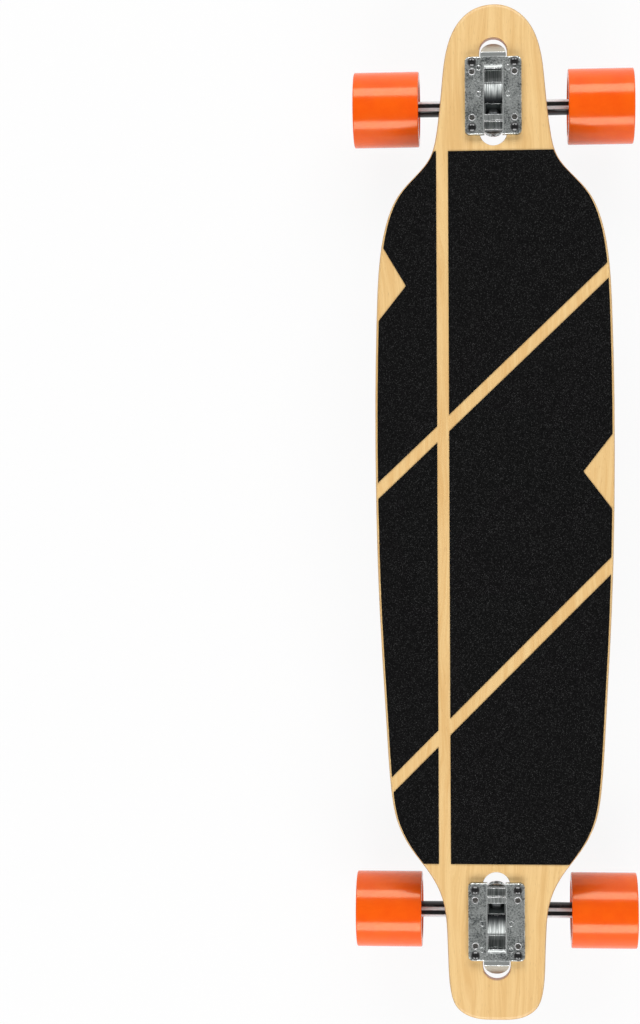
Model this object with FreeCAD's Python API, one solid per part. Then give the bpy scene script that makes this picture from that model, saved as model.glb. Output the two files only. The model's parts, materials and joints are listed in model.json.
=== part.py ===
import FreeCAD, Part
import math
import os

# Drop-through longboard: a maple deck with cut-out ends, two reverse-kingpin trucks and four wheels.
# Frame: +Y towards the nose, +X to the right, +Z up, origin on the ground below the middle of the deck.
# Lengths are millimetres, angles are degrees.

V = FreeCAD.Vector

# Deck
deck_length = 990.0
deck_width = 232.0
ply_count = 8
ply_thickness = 1.45
concave_flat_width = 130.0
concave_radius = 252.0
deck_edge_radius = 3.0
nose_setback = 89.3
tail_setback = 95.6

# Half outline of the deck from nose to tail: share of the length from the nose, share of the half width.
deck_outline_shares = [
    (0.0, 0.0),
    (0.0050, 0.172),
    (0.0165, 0.287),
    (0.041, 0.386),
    (0.082, 0.435),
    (0.125, 0.476),
    (0.150, 0.534),
    (0.1695, 0.668),
    (0.1868, 0.798),
    (0.2138, 0.900),
    (0.2480, 0.956),
    (0.302, 0.985),
    (0.390, 1.0),
    (0.480, 0.998),
    (0.597, 0.971),
    (0.715, 0.916),
    (0.7743, 0.880),
    (0.8038, 0.834),
    (0.8333, 0.708),
    (0.857, 0.556),
    (0.8806, 0.456),
    (0.9160, 0.414),
    (0.9513, 0.404),
    (0.9720, 0.387),
    (0.9880, 0.336),
    (0.9975, 0.215),
    (1.0, 0.0),
]

# Slot through each end of the deck, narrow at both ends and wide at the waist
cutout_waist_width = 46.0
cutout_waist_length = 20.0
cutout_shoulder_length = 54.0
cutout_outer_reach = 56.5
cutout_inner_reach = 48.5
cutout_edge_radius = 1.2

# Grip tape
grip_thickness = 0.9
grip_rim = 2.3
grip_nose_gap = 143.0
grip_tail_gap = 152.0
stripe_width = 11.6
long_stripe_left = 50.0
front_stripe_ahead = 129.0
front_stripe_angle = 43.6
rear_stripe_behind = 165.0
rear_stripe_angle = 45.1
notch_depth = 28.0
left_notch_ahead = 221.0
left_notch_front = 47.0
left_notch_back = 36.0
right_notch_ahead = 39.0
right_notch_front = 36.0
right_notch_back = 37.0

# Truck geometry
kingpin_tilt = 40.0
axle_drop = 60.0
axle_inset = 2.0
axle_back = 18.0
axle_rake = 14.0

# Mounting hardware
bolt_spacing_length = 63.5
bolt_spacing_width = 41.28
bolt_diameter = 4.8
bolt_hole_diameter = 5.5
bolt_head_diameter = 8.4
bolt_head_height = 2.6
bolt_head_rim = 1.0
bolt_recess_length = 4.6
bolt_recess_width = 1.1
bolt_recess_depth = 1.5
bolt_tail = 2.0
nut_flats = 9.5
nut_height = 5.0
nut_washer_diameter = 10.6
nut_washer_thickness = 1.0

# Baseplate
flange_width = 55.0
flange_outer_reach = 37.0
flange_inner_reach = 39.0
flange_thickness = 6.5
flange_corner_radius = 4.5
flange_edge_radius = 1.4
second_row_inset = 9.5
body_width = 25.0
slot_clearance = 1.0
tongue_reach = 50.6
tongue_shoulder = 41.0
tongue_nose_height = 2.6
tongue_chin = 5.0
tongue_floor_below_deck = 2.6
tongue_corner_radius = 12.0
post_back_reach = 33.0
seat_boss_diameter = 31.0
seat_boss_depth = 20.0
seat_wall = 9.0
seat_margin = 3.5
channel_width = 18.0
channel_depth = 3.0
channel_outer_end = 29.0
channel_lip = 3.0
ramp_top = 10.4
ramp_foot = 6.0
ramp_drop = 7.5
crosspiece_inner = 25.0
crosspiece_drop = 2.0
back_step_drop = 8.0
notch_width = 17.5
core_pocket_width = 15.8
core_pocket_start = 12.5
core_pocket_end = 25.6
core_pocket_depth = 13.0
head_pocket_width = 15.2
head_pocket_start = 7.5
head_pocket_end = 19.0
ejector_diameter = 4.6
ejector_depth = 0.4
ejector_offset = 14.2
ejector_rows = [26.0, 0.5]

# Kingpin, bushings and washers
kingpin_diameter = 9.5
kingpin_hole_diameter = 10.0
kingpin_head_flats = 12.7
kingpin_head_height = 6.5
kingpin_head_clearance = 0.6
kingpin_tail = 2.5
kingpin_nut_flats = 14.3
kingpin_nut_height = 6.0
kingpin_nut_collar_diameter = 12.4
kingpin_nut_collar_height = 2.4
bushing_diameter = 24.0
bushing_bore_diameter = 10.4
bushing_edge = 1.2
boardside_bushing_length = 14.0
roadside_bushing_length = 11.0
roadside_bushing_tip_diameter = 19.0
cup_washer_thickness = 2.0
cup_washer_rim = 1.4
boardside_washer_diameter = 26.0
roadside_washer_diameter = 19.0
thread_clearance = 0.05

# Hanger
hanger_width = 180.0
beam_diameter = 16.0
arm_end_diameter = 15.4
yoke_diameter = 48.0
yoke_thickness = 9.0
yoke_hole_diameter = 16.0
yoke_lip_width = 2.4
yoke_lip_height = 1.2
yoke_lip_clearance = 0.6
shoulder_width = 64.0
web_root_width = 54.0
web_tip_width = 18.0
gusset_span = 104.0
gusset_thickness = 9.0
yoke_edge_radius = 1.6
flute_start = 29.0
flute_end = 84.0
flute_width = 7.6
flute_depth = 2.7
flute_offset = 2.2

# Pivot and its cup
pivot_diameter = 9.6
pivot_root_diameter = 15.0
pivot_engagement = 3.2
pivot_clearance = 0.06
housing_gap = 1.0
hanger_face_gap = 1.0
cup_wall = 1.6
cup_floor = 1.3
housing_wall = 2.4
housing_floor = 1.8
housing_edge_radius = 2.2
cheek_root_width = 38.0
cheek_tip_width = 27.0
cheek_gap = 0.6

# Axle line
axle_diameter = 8.0
axle_bore_clearance = 0.02
ring_clearance = 0.03
axle_tail = 2.5
axle_end_chamfer = 0.8
speed_washer_diameter = 11.0
speed_washer_thickness = 1.0
axle_nut_flats = 12.7
axle_nut_height = 4.9
axle_nut_collar_diameter = 11.2
axle_nut_collar_height = 1.6
bearing_width = 7.0
bearing_diameter = 22.0
inner_ring_diameter = 12.1
outer_ring_bore = 19.2
ball_diameter = 3.9
ball_count = 7
ball_clearance = 0.06
cage_height = 1.4
cage_width = 3.4
cage_pocket_clearance = 0.15
shield_thickness = 0.4
shield_inset = 0.3
shield_gap = 0.3
spacer_length = 10.0
spacer_diameter = 10.6

# Wheel
wheel_diameter = 75.0
wheel_width = 65.0
wheel_edge_radius = 3.2
wheel_lip_width = 5.0
wheel_inner_recess = 17.0
wheel_core_diameter = 18.0
wheel_dish_diameter = 30.0
wheel_dish_floor = 3.0
wheel_dish_sag = 2.2
bearing_seat_clearance = 0.02

# Every cut runs past the face that it opens by this much
overrun = 4.0

deck_thickness = ply_count * ply_thickness
deck_top = wheel_diameter / 2 + axle_drop
half_length = deck_length / 2
half_width = deck_width / 2
tilt_sin = math.sin(math.radians(kingpin_tilt))
tilt_cos = math.cos(math.radians(kingpin_tilt))

# The bushing centre, where kingpin and steering axis cross, in truck coordinates:
# origin on the deck top at the middle of the bolt pattern, y towards the end of the board, z up.
bushing_y = -axle_inset + axle_back * tilt_cos - axle_rake * tilt_sin
bushing_z = -axle_drop + axle_back * tilt_sin + axle_rake * tilt_cos
steer_frame = FreeCAD.Placement(V(0, bushing_y, bushing_z), FreeCAD.Rotation(V(1, 0, 0), kingpin_tilt))

# Heights along the kingpin, measured up from the bushing centre
yoke_top = yoke_thickness / 2
washer_low = yoke_top + boardside_bushing_length
seat_height = washer_low + cup_washer_thickness
head_seat = seat_height + seat_wall
roadside_end = -yoke_top - roadside_bushing_length
nut_top = roadside_end - cup_washer_thickness
nut_low = nut_top - kingpin_nut_height
collar_low = nut_low - kingpin_nut_collar_height

# Distances along the steering axis, measured outwards from the bushing centre
housing_face = -axle_back - beam_diameter / 2 - housing_gap
pivot_ball = housing_face - pivot_engagement
cup_bottom = pivot_ball - pivot_diameter / 2 - pivot_clearance - cup_floor
housing_back = cup_bottom - housing_floor
housing_diameter = pivot_diameter + 2 * (pivot_clearance + cup_wall + housing_wall)

# Stations along the axle, measured from the middle of the truck
inner_bearing = hanger_width / 2 + speed_washer_thickness
spacer_start = inner_bearing + bearing_width
outer_bearing = spacer_start + spacer_length
outer_washer = outer_bearing + bearing_width
axle_nut_start = outer_washer + speed_washer_thickness
axle_end = axle_nut_start + axle_nut_height + axle_nut_collar_height + axle_tail
wheel_start = inner_bearing - wheel_inner_recess


def polygon_face(points):
    return Part.Face(Part.makePolygon(points + points[:1]))


def side_prism(points, width):
    """A polygon of (y, z) points, as wide as given across the board."""
    corners = [V(-width / 2, y, z) for y, z in points]
    return polygon_face(corners).extrude(V(width, 0, 0))


def plan_prism(points, low, high):
    """A polygon of (x, y) points between two heights."""
    return polygon_face([V(x, y, low) for x, y in points]).extrude(V(0, 0, high - low))


def disc(diameter, low, high):
    return Part.makeCylinder(diameter / 2, high - low, V(0, 0, low))


def tube(diameter, bore, low, high):
    return disc(diameter, low, high).cut(disc(bore, low - overrun, high + overrun))


def hexagon(flats, low, high):
    radius = flats / math.sqrt(3)
    corners = [(radius * math.cos(i * math.pi / 3), radius * math.sin(i * math.pi / 3)) for i in range(6)]
    return plan_prism(corners, low, high)


def nut_blank(flats, low, high):
    """A hexagon whose corners are turned off at both ends, as on a nut or a bolt head."""
    corner = flats / math.sqrt(3)
    turned = disc(2 * corner, low, high)
    rims = [edge for edge in turned.Edges if edge.BoundBox.ZLength < corner - flats / 2]
    return hexagon(flats, low, high).common(turned.makeChamfer(corner - flats / 2, rims))


def rod(diameter, start, end):
    """A cylinder along the axle line."""
    return Part.makeCylinder(diameter / 2, end - start, V(start, 0, 0), V(1, 0, 0))


def sleeve(diameter, bore, start, end):
    return rod(diameter, start, end).cut(rod(bore, start - overrun, end + overrun))


def pivot_rod(diameter, start, end):
    """A cylinder along the steering axis of the steer frame."""
    return Part.makeCylinder(diameter / 2, start - end, V(0, start, 0), V(0, -1, 0))


def on_both_sides(shape):
    """The shape and its twin at the other end of the axle."""
    twin = shape.copy()
    twin.rotate(V(0, 0, 0), V(0, 0, 1), 180)
    return [shape, twin]


def in_steer_frame(shape):
    placed = shape.copy()
    placed.Placement = steer_frame.multiply(placed.Placement)
    return placed


def on_axle_line(shape):
    placed = shape.copy()
    placed.translate(V(0, -axle_inset, -axle_drop))
    return placed


def steer_point(outward, up):
    """The truck's (y, z) of a point given along the steering axis and up the kingpin."""
    y = bushing_y + outward * tilt_cos - up * tilt_sin
    z = bushing_z + outward * tilt_sin + up * tilt_cos
    return (y, z)


def outline_face(half_breadth):
    """The deck's plan outline, one closed curve, with the given half width at its widest."""
    right = []
    for along, across in deck_outline_shares:
        right.append(V(half_breadth * across, half_length - deck_length * along, 0))
    left = [V(-point.x, point.y, 0) for point in reversed(right[1:-1])]
    curve = Part.BSplineCurve()
    curve.interpolate(Points=right + left, PeriodicFlag=True)
    knots = curve.getKnots()
    joins = knots[:-1:2] + knots[-1:]
    spans = [curve.toShape(start, end) for start, end in zip(joins[:-1], joins[1:])]
    return Part.Face(Part.Wire(spans))


def concave_slab(high, low):
    """A layer that follows the concave, between two heights over the deck's top face."""
    flat = concave_flat_width / 2
    turn = math.asin((half_width - flat + overrun) / (concave_radius - grip_thickness))
    start = -half_length - overrun
    edges = []
    ends = {}
    for height in (high, low):
        radius = concave_radius - height
        level = deck_top + height
        edges.append(Part.makeLine(V(-flat, start, level), V(flat, start, level)))
        for side in (1, -1):
            arc = []
            for angle in (0, turn / 2, turn):
                drop = radius * (1 - math.cos(angle))
                arc.append(V(side * (flat + radius * math.sin(angle)), start, level + drop))
            edges.append(Part.Arc(arc[0], arc[1], arc[2]).toShape())
            ends[height, side] = arc[2]
    for side in (1, -1):
        edges.append(Part.makeLine(ends[high, side], ends[low, side]))
    section = Part.Face(Part.Wire(Part.__sortEdges__(edges)))
    return section.extrude(V(0, deck_length + 2 * overrun, 0))


def cutout_tool():
    """The slot for one baseplate: round ends, straight flanks and an S-curve out to the waist."""
    narrow = body_width / 2 + slot_clearance
    wide = cutout_waist_width / 2
    waist = cutout_waist_length / 2
    shoulder = cutout_shoulder_length / 2
    middle = (waist + shoulder) / 2
    outer = cutout_outer_reach - narrow
    inner = -cutout_inner_reach + narrow
    edges = []
    for side in (1, -1):
        for facing in (1, -1):
            bend = Part.BezierCurve()
            bend.setPoles([
                V(side * narrow, facing * shoulder, 0),
                V(side * narrow, facing * middle, 0),
                V(side * wide, facing * middle, 0),
                V(side * wide, facing * waist, 0),
            ])
            edges.append(bend.toShape())
        edges.append(Part.makeLine(V(side * wide, -waist, 0), V(side * wide, waist, 0)))
        edges.append(Part.makeLine(V(side * narrow, shoulder, 0), V(side * narrow, outer, 0)))
        edges.append(Part.makeLine(V(side * narrow, -shoulder, 0), V(side * narrow, inner, 0)))
    edges.append(Part.Arc(V(narrow, outer, 0), V(0, cutout_outer_reach, 0), V(-narrow, outer, 0)).toShape())
    edges.append(Part.Arc(V(narrow, inner, 0), V(0, -cutout_inner_reach, 0), V(-narrow, inner, 0)).toShape())
    face = Part.Face(Part.Wire(Part.__sortEdges__(edges)))
    face.translate(V(0, 0, -deck_thickness - overrun))
    return face.extrude(V(0, 0, deck_thickness + 2 * overrun))


def bolt_places():
    return [
        V(x * bolt_spacing_width / 2, y * bolt_spacing_length / 2, 0)
        for x in (-1, 1)
        for y in (-1, 1)
    ]


def at_bolts(shape):
    copies = []
    for place in bolt_places():
        copy = shape.copy()
        copy.translate(place)
        copies.append(copy)
    return copies


def make_deck(truck_places):
    blank = outline_face(half_width)
    prism = blank.extrude(V(0, 0, deck_top + half_width))
    deck = concave_slab(0, -deck_thickness).common(prism).Solids[0]
    rim = []
    for face in deck.Faces:
        if face.Surface.TypeId in ("Part::GeomBSplineSurface", "Part::GeomSurfaceOfExtrusion"):
            rim += [edge for edge in face.Edges if abs(edge.tangentAt(edge.FirstParameter).z) < tilt_sin]
    deck = deck.makeFillet(deck_edge_radius, rim)
    holes = at_bolts(disc(bolt_hole_diameter, -deck_thickness - overrun, overrun))
    for place in truck_places.values():
        slot = cutout_tool()
        slot.Placement = place.multiply(slot.Placement)
        deck = deck.cut(slot).Solids[0]
        deck = deck.makeFillet(cutout_edge_radius, slot_rims(deck, slot.BoundBox))
        for hole in holes:
            placed = hole.copy()
            placed.Placement = place.multiply(placed.Placement)
            deck = deck.cut(placed)
    return deck.Solids


def slot_rims(deck, room):
    """The deck's level edges that lie within a slot's own plan box."""
    rims = []
    for edge in deck.Edges:
        box = edge.BoundBox
        inside = box.YMin > room.YMin - overrun and box.YMax < room.YMax + overrun
        narrow = box.XMax < room.XMax + overrun and box.XMin > room.XMin - overrun
        if inside and narrow and box.ZLength < cutout_edge_radius:
            rims.append(edge)
    return rims


def stripe_tool(ahead, angle):
    """A band across the board, rising to the right at the given angle."""
    corner = V(-half_length, -stripe_width / 2, 0)
    band = Part.makeBox(deck_length, stripe_width, deck_top + half_width, corner)
    band.rotate(V(0, 0, 0), V(0, 0, 1), angle)
    band.translate(V(0, ahead, 0))
    return band


def notch_tool(side, ahead, front, back):
    """A triangular bite from one rail."""
    rail = half_width - grip_rim
    reach = half_width + overrun
    tip = rail - notch_depth
    spread = (reach - tip) / notch_depth
    points = [
        (side * tip, ahead),
        (side * reach, ahead - back * spread),
        (side * reach, ahead + front * spread),
    ]
    return plan_prism(points, 0, deck_top + half_width)


def make_grip_tape():
    sheet = outline_face(half_width - grip_rim).extrude(V(0, 0, deck_top + half_width))
    back = -half_length + grip_tail_gap
    front = half_length - grip_nose_gap
    field = Part.makeBox(deck_width, front - back, deck_top + half_width, V(-half_width, back, 0))
    long_stripe = Part.makeBox(stripe_width, deck_length, deck_top + half_width)
    long_stripe.translate(V(-long_stripe_left - stripe_width / 2, -half_length, 0))
    panels = concave_slab(grip_thickness, 0).common(sheet).common(field)
    panels = panels.cut(long_stripe)
    panels = panels.cut(stripe_tool(front_stripe_ahead, front_stripe_angle))
    panels = panels.cut(stripe_tool(-rear_stripe_behind, rear_stripe_angle))
    panels = panels.cut(notch_tool(-1, left_notch_ahead, left_notch_front, left_notch_back))
    panels = panels.cut(notch_tool(1, right_notch_ahead, right_notch_front, right_notch_back))
    return panels.Solids


def make_mounting_bolts():
    end = -deck_thickness - nut_washer_thickness - nut_height - bolt_tail
    head_top = flange_thickness + bolt_head_height
    rise = bolt_head_height - bolt_head_rim
    crown = ((bolt_head_diameter / 2) ** 2 + rise ** 2) / (2 * rise)
    head = disc(bolt_head_diameter, flange_thickness, head_top)
    head = head.common(Part.makeSphere(crown, V(0, 0, head_top - crown)))
    for angle in (0, 90):
        arm = Part.makeBox(bolt_recess_length, bolt_recess_width, bolt_recess_depth + overrun)
        arm.translate(V(-bolt_recess_length / 2, -bolt_recess_width / 2, head_top - bolt_recess_depth))
        arm.rotate(V(0, 0, 0), V(0, 0, 1), angle)
        head = head.cut(arm)
    return at_bolts(head.fuse(disc(bolt_diameter, end, flange_thickness)).removeSplitter().Solids[0])


def make_mounting_washers():
    low = -deck_thickness - nut_washer_thickness
    return at_bolts(tube(nut_washer_diameter, bolt_hole_diameter, low, -deck_thickness))


def make_mounting_nuts():
    top = -deck_thickness - nut_washer_thickness
    bore = disc(bolt_diameter + 2 * thread_clearance, top - nut_height - overrun, top + overrun)
    return at_bolts(nut_blank(nut_flats, top - nut_height, top).cut(bore).Solids[0])


def make_flange():
    """The plate that lies on the deck, with rounded corners and a softened upper edge."""
    length = flange_outer_reach + flange_inner_reach
    plate = Part.makeBox(flange_width, length, flange_thickness, V(-flange_width / 2, -flange_inner_reach, 0))
    upright = [edge for edge in plate.Edges if edge.BoundBox.ZLength > flange_thickness / 2]
    plate = plate.makeFillet(flange_corner_radius, upright)
    upper = [edge for edge in plate.Edges if edge.BoundBox.ZMin > flange_thickness / 2]
    return plate.makeFillet(flange_edge_radius, upper)


def make_base_body():
    """The casting that hangs through the deck: tongue, kingpin seat and the post of the pivot."""
    floor = -deck_thickness - tongue_floor_below_deck
    seat_half = seat_boss_diameter / 2
    points = [
        (-post_back_reach, flange_thickness),
        (tongue_shoulder, flange_thickness),
        (tongue_reach, -tongue_nose_height),
        (tongue_reach, floor + tongue_chin),
        (tongue_reach - tongue_chin, floor),
        steer_point(seat_half + seat_margin, seat_height),
        steer_point(-seat_half, seat_height),
        steer_point(housing_face, housing_diameter / 2),
        steer_point(cup_bottom, 0),
        (-post_back_reach, -deck_thickness),
    ]
    body = side_prism(points, body_width)
    tip = [
        edge for edge in body.Edges
        if edge.BoundBox.YMin > tongue_reach - tongue_chin / 2 and edge.BoundBox.XLength < body_width / 2
    ]
    return body.makeFillet(tongue_corner_radius, tip)


def make_seat_boss():
    """The round pad that the upper cup washer bears on, below the deck only."""
    boss = in_steer_frame(disc(seat_boss_diameter, seat_height, seat_height + seat_boss_depth))
    ceiling = -deck_thickness - slot_clearance
    corner = V(-flange_width / 2, -half_length, ceiling - axle_drop)
    room = Part.makeBox(flange_width, deck_length, axle_drop, corner)
    return boss.common(room)


def make_pivot_housing():
    housing = pivot_rod(housing_diameter, housing_face, housing_back)
    rims = [edge for edge in housing.Edges if edge.BoundBox.YLength < housing_wall]
    return in_steer_frame(housing.makeFillet(housing_edge_radius, rims))


def make_cheeks():
    """The flared shoulder beside the pivot housing."""
    face = housing_face - cheek_gap
    flare = trapezoid(cheek_root_width, cheek_tip_width, face, cup_bottom, 0, housing_wall)
    return in_steer_frame(flare)


def channel_tool():
    """The open channel along the top of the baseplate, stepping down to the pivot housing."""
    top = flange_thickness + overrun
    ledge = flange_thickness - channel_depth
    back = -flange_inner_reach - overrun
    points = [
        (channel_outer_end, flange_thickness),
        (channel_outer_end, top),
        (-post_back_reach, top),
        (-post_back_reach, flange_thickness - back_step_drop),
        (-crosspiece_inner, flange_thickness - back_step_drop),
        (-crosspiece_inner, flange_thickness - crosspiece_drop),
        (-head_pocket_end, flange_thickness - crosspiece_drop),
        (-head_pocket_end, ledge - ramp_drop),
        (-ramp_foot, ledge - ramp_drop),
        (ramp_top, ledge),
        (channel_outer_end - channel_lip, ledge),
    ]
    channel = side_prism(points, channel_width)
    notch = Part.makeBox(notch_width, -post_back_reach - back, flange_thickness + 2 * overrun)
    notch.translate(V(-notch_width / 2, back, -overrun))
    return channel.fuse(notch)


def pocket_tools():
    """The coring pocket near the tongue and the pocket that lets the kingpin head in."""
    top = flange_thickness + overrun
    core = Part.makeBox(core_pocket_width, core_pocket_end - core_pocket_start, core_pocket_depth + overrun)
    core.translate(V(-core_pocket_width / 2, core_pocket_start, flange_thickness - core_pocket_depth))
    seat_y, seat_z = steer_point(0, head_seat)
    slope = tilt_sin / tilt_cos
    head_points = [
        (-head_pocket_start, top),
        (-head_pocket_end, top),
        (-head_pocket_end, seat_z + slope * (-head_pocket_end - seat_y)),
        (-head_pocket_start, seat_z + slope * (-head_pocket_start - seat_y)),
    ]
    head_room = kingpin_head_flats * 2 / math.sqrt(3) + 2 * kingpin_head_clearance
    well = disc(head_room, head_seat, head_seat + kingpin_head_height + kingpin_head_clearance)
    return [core, side_prism(head_points, head_pocket_width), in_steer_frame(well)]


def flange_hole_tools():
    tools = at_bolts(disc(bolt_hole_diameter, -overrun, flange_thickness + overrun))
    for place in bolt_places():
        inboard = math.copysign(bolt_spacing_length / 2 - second_row_inset, place.y)
        hole = disc(bolt_hole_diameter, -overrun, flange_thickness + overrun)
        hole.translate(V(place.x, inboard, 0))
        tools.append(hole)
    for row in ejector_rows:
        for side in (-1, 1):
            mark = disc(ejector_diameter, flange_thickness - ejector_depth, flange_thickness + overrun)
            mark.translate(V(side * ejector_offset, row, 0))
            tools.append(mark)
    return tools


def make_baseplate():
    casting = make_flange()
    for piece in (make_base_body(), make_seat_boss(), make_pivot_housing(), make_cheeks()):
        casting = casting.fuse(piece)
    cup_seat = pivot_rod(housing_diameter - 2 * housing_wall, housing_face + overrun, cup_bottom)
    kingpin_hole = disc(kingpin_hole_diameter, seat_height - overrun, head_seat + overrun)
    tools = [channel_tool(), in_steer_frame(cup_seat), in_steer_frame(kingpin_hole)]
    for tool in tools + pocket_tools() + flange_hole_tools():
        casting = casting.cut(tool)
    return casting.removeSplitter().Solids


def make_pivot_cup():
    """A urethane thimble, round inside to match the pivot's ball end."""
    room = pivot_diameter + 2 * pivot_clearance
    cup = pivot_rod(room + 2 * cup_wall, housing_face, cup_bottom)
    cup = cup.cut(pivot_rod(room, housing_face + overrun, pivot_ball))
    cup = cup.cut(Part.makeSphere(room / 2, V(0, pivot_ball, 0)))
    return [in_steer_frame(cup)]


def make_kingpin():
    head = nut_blank(kingpin_head_flats, head_seat, head_seat + kingpin_head_height)
    shank = disc(kingpin_diameter, collar_low - kingpin_tail, head_seat)
    return [in_steer_frame(head.fuse(shank).removeSplitter().Solids[0])]


def make_kingpin_nut():
    body = nut_blank(kingpin_nut_flats, nut_low, nut_top)
    body = body.fuse(disc(kingpin_nut_collar_diameter, collar_low, nut_low))
    bore = disc(kingpin_diameter + 2 * thread_clearance, collar_low - overrun, nut_top + overrun)
    return [in_steer_frame(body.cut(bore).removeSplitter().Solids[0])]


def make_boardside_bushing():
    barrel = tube(bushing_diameter, bushing_bore_diameter, yoke_top, washer_low)
    outside = (bushing_diameter + bushing_bore_diameter) / 2
    rings = [
        edge for edge in barrel.Edges
        if edge.BoundBox.XLength > outside and edge.BoundBox.ZLength < bushing_edge
    ]
    return [in_steer_frame(barrel.makeFillet(bushing_edge, rings))]


def make_roadside_bushing():
    tip = roadside_bushing_tip_diameter / 2
    cone = Part.makeCone(tip, bushing_diameter / 2, roadside_bushing_length, V(0, 0, roadside_end))
    bore = disc(bushing_bore_diameter, roadside_end - overrun, overrun)
    return [in_steer_frame(cone.cut(bore))]


def make_boardside_washer():
    """A cup washer: flat against its seat, with a lip turned down round the bushing."""
    rim = boardside_washer_diameter + 2 * cup_washer_rim
    plate = disc(rim, washer_low, seat_height)
    lip = tube(rim, boardside_washer_diameter, washer_low - cup_washer_rim, washer_low)
    bore = disc(kingpin_hole_diameter, washer_low - overrun, seat_height + overrun)
    return [in_steer_frame(plate.fuse(lip).cut(bore).removeSplitter().Solids[0])]


def make_roadside_washer():
    return [in_steer_frame(tube(roadside_washer_diameter, kingpin_hole_diameter, nut_top, roadside_end))]


def make_yoke():
    """The plate round the kingpin: an arch outside, spreading to the arms and closing in on the pivot."""
    reach = yoke_diameter / 2
    shoulder = shoulder_width / 2
    tip = web_tip_width / 2
    block_end = housing_face + hanger_face_gap
    corners = [
        V(reach, 0, 0),
        V(shoulder, -axle_back, 0),
        V(tip, block_end, 0),
        V(-tip, block_end, 0),
        V(-shoulder, -axle_back, 0),
        V(-reach, 0, 0),
    ]
    edges = [Part.makeLine(start, end) for start, end in zip(corners[:-1], corners[1:])]
    edges.append(Part.Arc(V(-reach, 0, 0), V(0, reach, 0), V(reach, 0, 0)).toShape())
    face = Part.Face(Part.Wire(Part.__sortEdges__(edges)))
    face.translate(V(0, 0, -yoke_top))
    plate = face.extrude(V(0, 0, yoke_thickness))
    rims = [edge for edge in plate.Edges if edge.BoundBox.ZLength < yoke_edge_radius]
    return plate.makeFillet(yoke_edge_radius, rims)


def trapezoid(root, tip, root_place, tip_place, low, high):
    """A plate that narrows along the steering axis, between two heights on the kingpin."""
    points = [(root / 2, root_place), (tip / 2, tip_place), (-tip / 2, tip_place), (-root / 2, root_place)]
    return plan_prism(points, low, high)


def make_arms():
    """The beam on the axle line: straight in the middle, tapered to both ends."""
    centre = V(0, -axle_back, -axle_rake)
    shoulder = V(shoulder_width / 2, 0, 0)
    beam = Part.makeCylinder(beam_diameter / 2, shoulder_width, centre - shoulder, V(1, 0, 0))
    for direction in (1, -1):
        arm = Part.makeCone(
            beam_diameter / 2,
            arm_end_diameter / 2,
            (hanger_width - shoulder_width) / 2,
            centre + shoulder * direction,
            V(direction, 0, 0),
        )
        beam = beam.fuse(arm)
    return beam


def make_pivot():
    """The cone, pin and ball end that turn in the pivot cup."""
    block_end = housing_face + hanger_face_gap
    length = -axle_back - block_end
    centre = V(0, -axle_back, 0)
    root = Part.makeCone(pivot_root_diameter / 2, pivot_diameter / 2, length, centre, V(0, -1, 0))
    pin = pivot_rod(pivot_diameter, -axle_back, pivot_ball)
    return root.fuse(pin).fuse(Part.makeSphere(pivot_diameter / 2, V(0, pivot_ball, 0)))


def make_hanger():
    """The T-shaped casting: arms on the axle line, the yoke on the kingpin, the pivot behind."""
    block_end = housing_face + hanger_face_gap
    beam_front = -axle_back + beam_diameter / 2
    web = trapezoid(web_root_width, web_root_width, beam_front, -axle_back, -axle_rake, yoke_top)
    web = web.fuse(trapezoid(web_root_width, web_tip_width, -axle_back, block_end, -axle_rake, yoke_top))
    gusset_low = -axle_rake - gusset_thickness / 2
    gusset_high = -axle_rake + gusset_thickness / 2
    gusset = trapezoid(gusset_span, web_root_width, -axle_back, block_end, gusset_low, gusset_high)
    collar_bore = bushing_diameter + 2 * yoke_lip_clearance
    collar = disc(collar_bore + 2 * yoke_lip_width, -yoke_top - yoke_lip_height, yoke_top + yoke_lip_height)
    casting = make_arms()
    for piece in (make_yoke(), web, gusset, collar, make_pivot()):
        casting = casting.fuse(piece)
    axle_hole = rod(axle_diameter + 2 * axle_bore_clearance, -axle_end, axle_end)
    axle_hole.translate(V(0, -axle_back, -axle_rake))
    tools = [
        disc(collar_bore, -axle_rake - beam_diameter, -yoke_top),
        disc(collar_bore, yoke_top, yoke_top + yoke_lip_height + overrun),
        disc(yoke_hole_diameter, -yoke_top - overrun, yoke_top + overrun),
        axle_hole,
    ]
    for tool in tools:
        casting = casting.cut(tool)
    casting = in_steer_frame(casting.removeSplitter())
    for flute in flute_tools():
        casting = casting.cut(flute)
    return casting.Solids


def flute_tools():
    """Round-ended recesses along each arm, one on the road side and one on the deck side."""
    first = flute_start + flute_width / 2
    last = flute_end - flute_width / 2
    slot = Part.makeBox(last - first, flute_width, flute_depth + overrun)
    slot.translate(V(first, -flute_width / 2, -overrun))
    for station in (first, last):
        end = disc(flute_width, -overrun, flute_depth)
        end.translate(V(station, 0, 0))
        slot = slot.fuse(end)
    slot = slot.removeSplitter()
    tools = []
    for facing in (0, 180):
        for side in (0, 180):
            tool = slot.copy()
            tool.translate(V(0, 0, -beam_diameter / 2))
            tool.rotate(V(0, 0, 0), V(1, 0, 0), facing)
            tool.rotate(V(0, 0, 0), V(0, 0, 1), side)
            tool.translate(V(0, flute_offset, 0))
            tools.append(on_axle_line(tool))
    return tools


def make_axle():
    axle = rod(axle_diameter, -axle_end, axle_end)
    rims = [edge for edge in axle.Edges if edge.BoundBox.XLength < axle_end_chamfer]
    return [on_axle_line(axle.makeChamfer(axle_end_chamfer, rims))]


def make_speed_washers():
    bore = axle_diameter + 2 * ring_clearance
    inner = sleeve(speed_washer_diameter, bore, hanger_width / 2, inner_bearing)
    outer = sleeve(speed_washer_diameter, bore, outer_washer, axle_nut_start)
    return [on_axle_line(piece) for piece in on_both_sides(inner) + on_both_sides(outer)]


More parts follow.
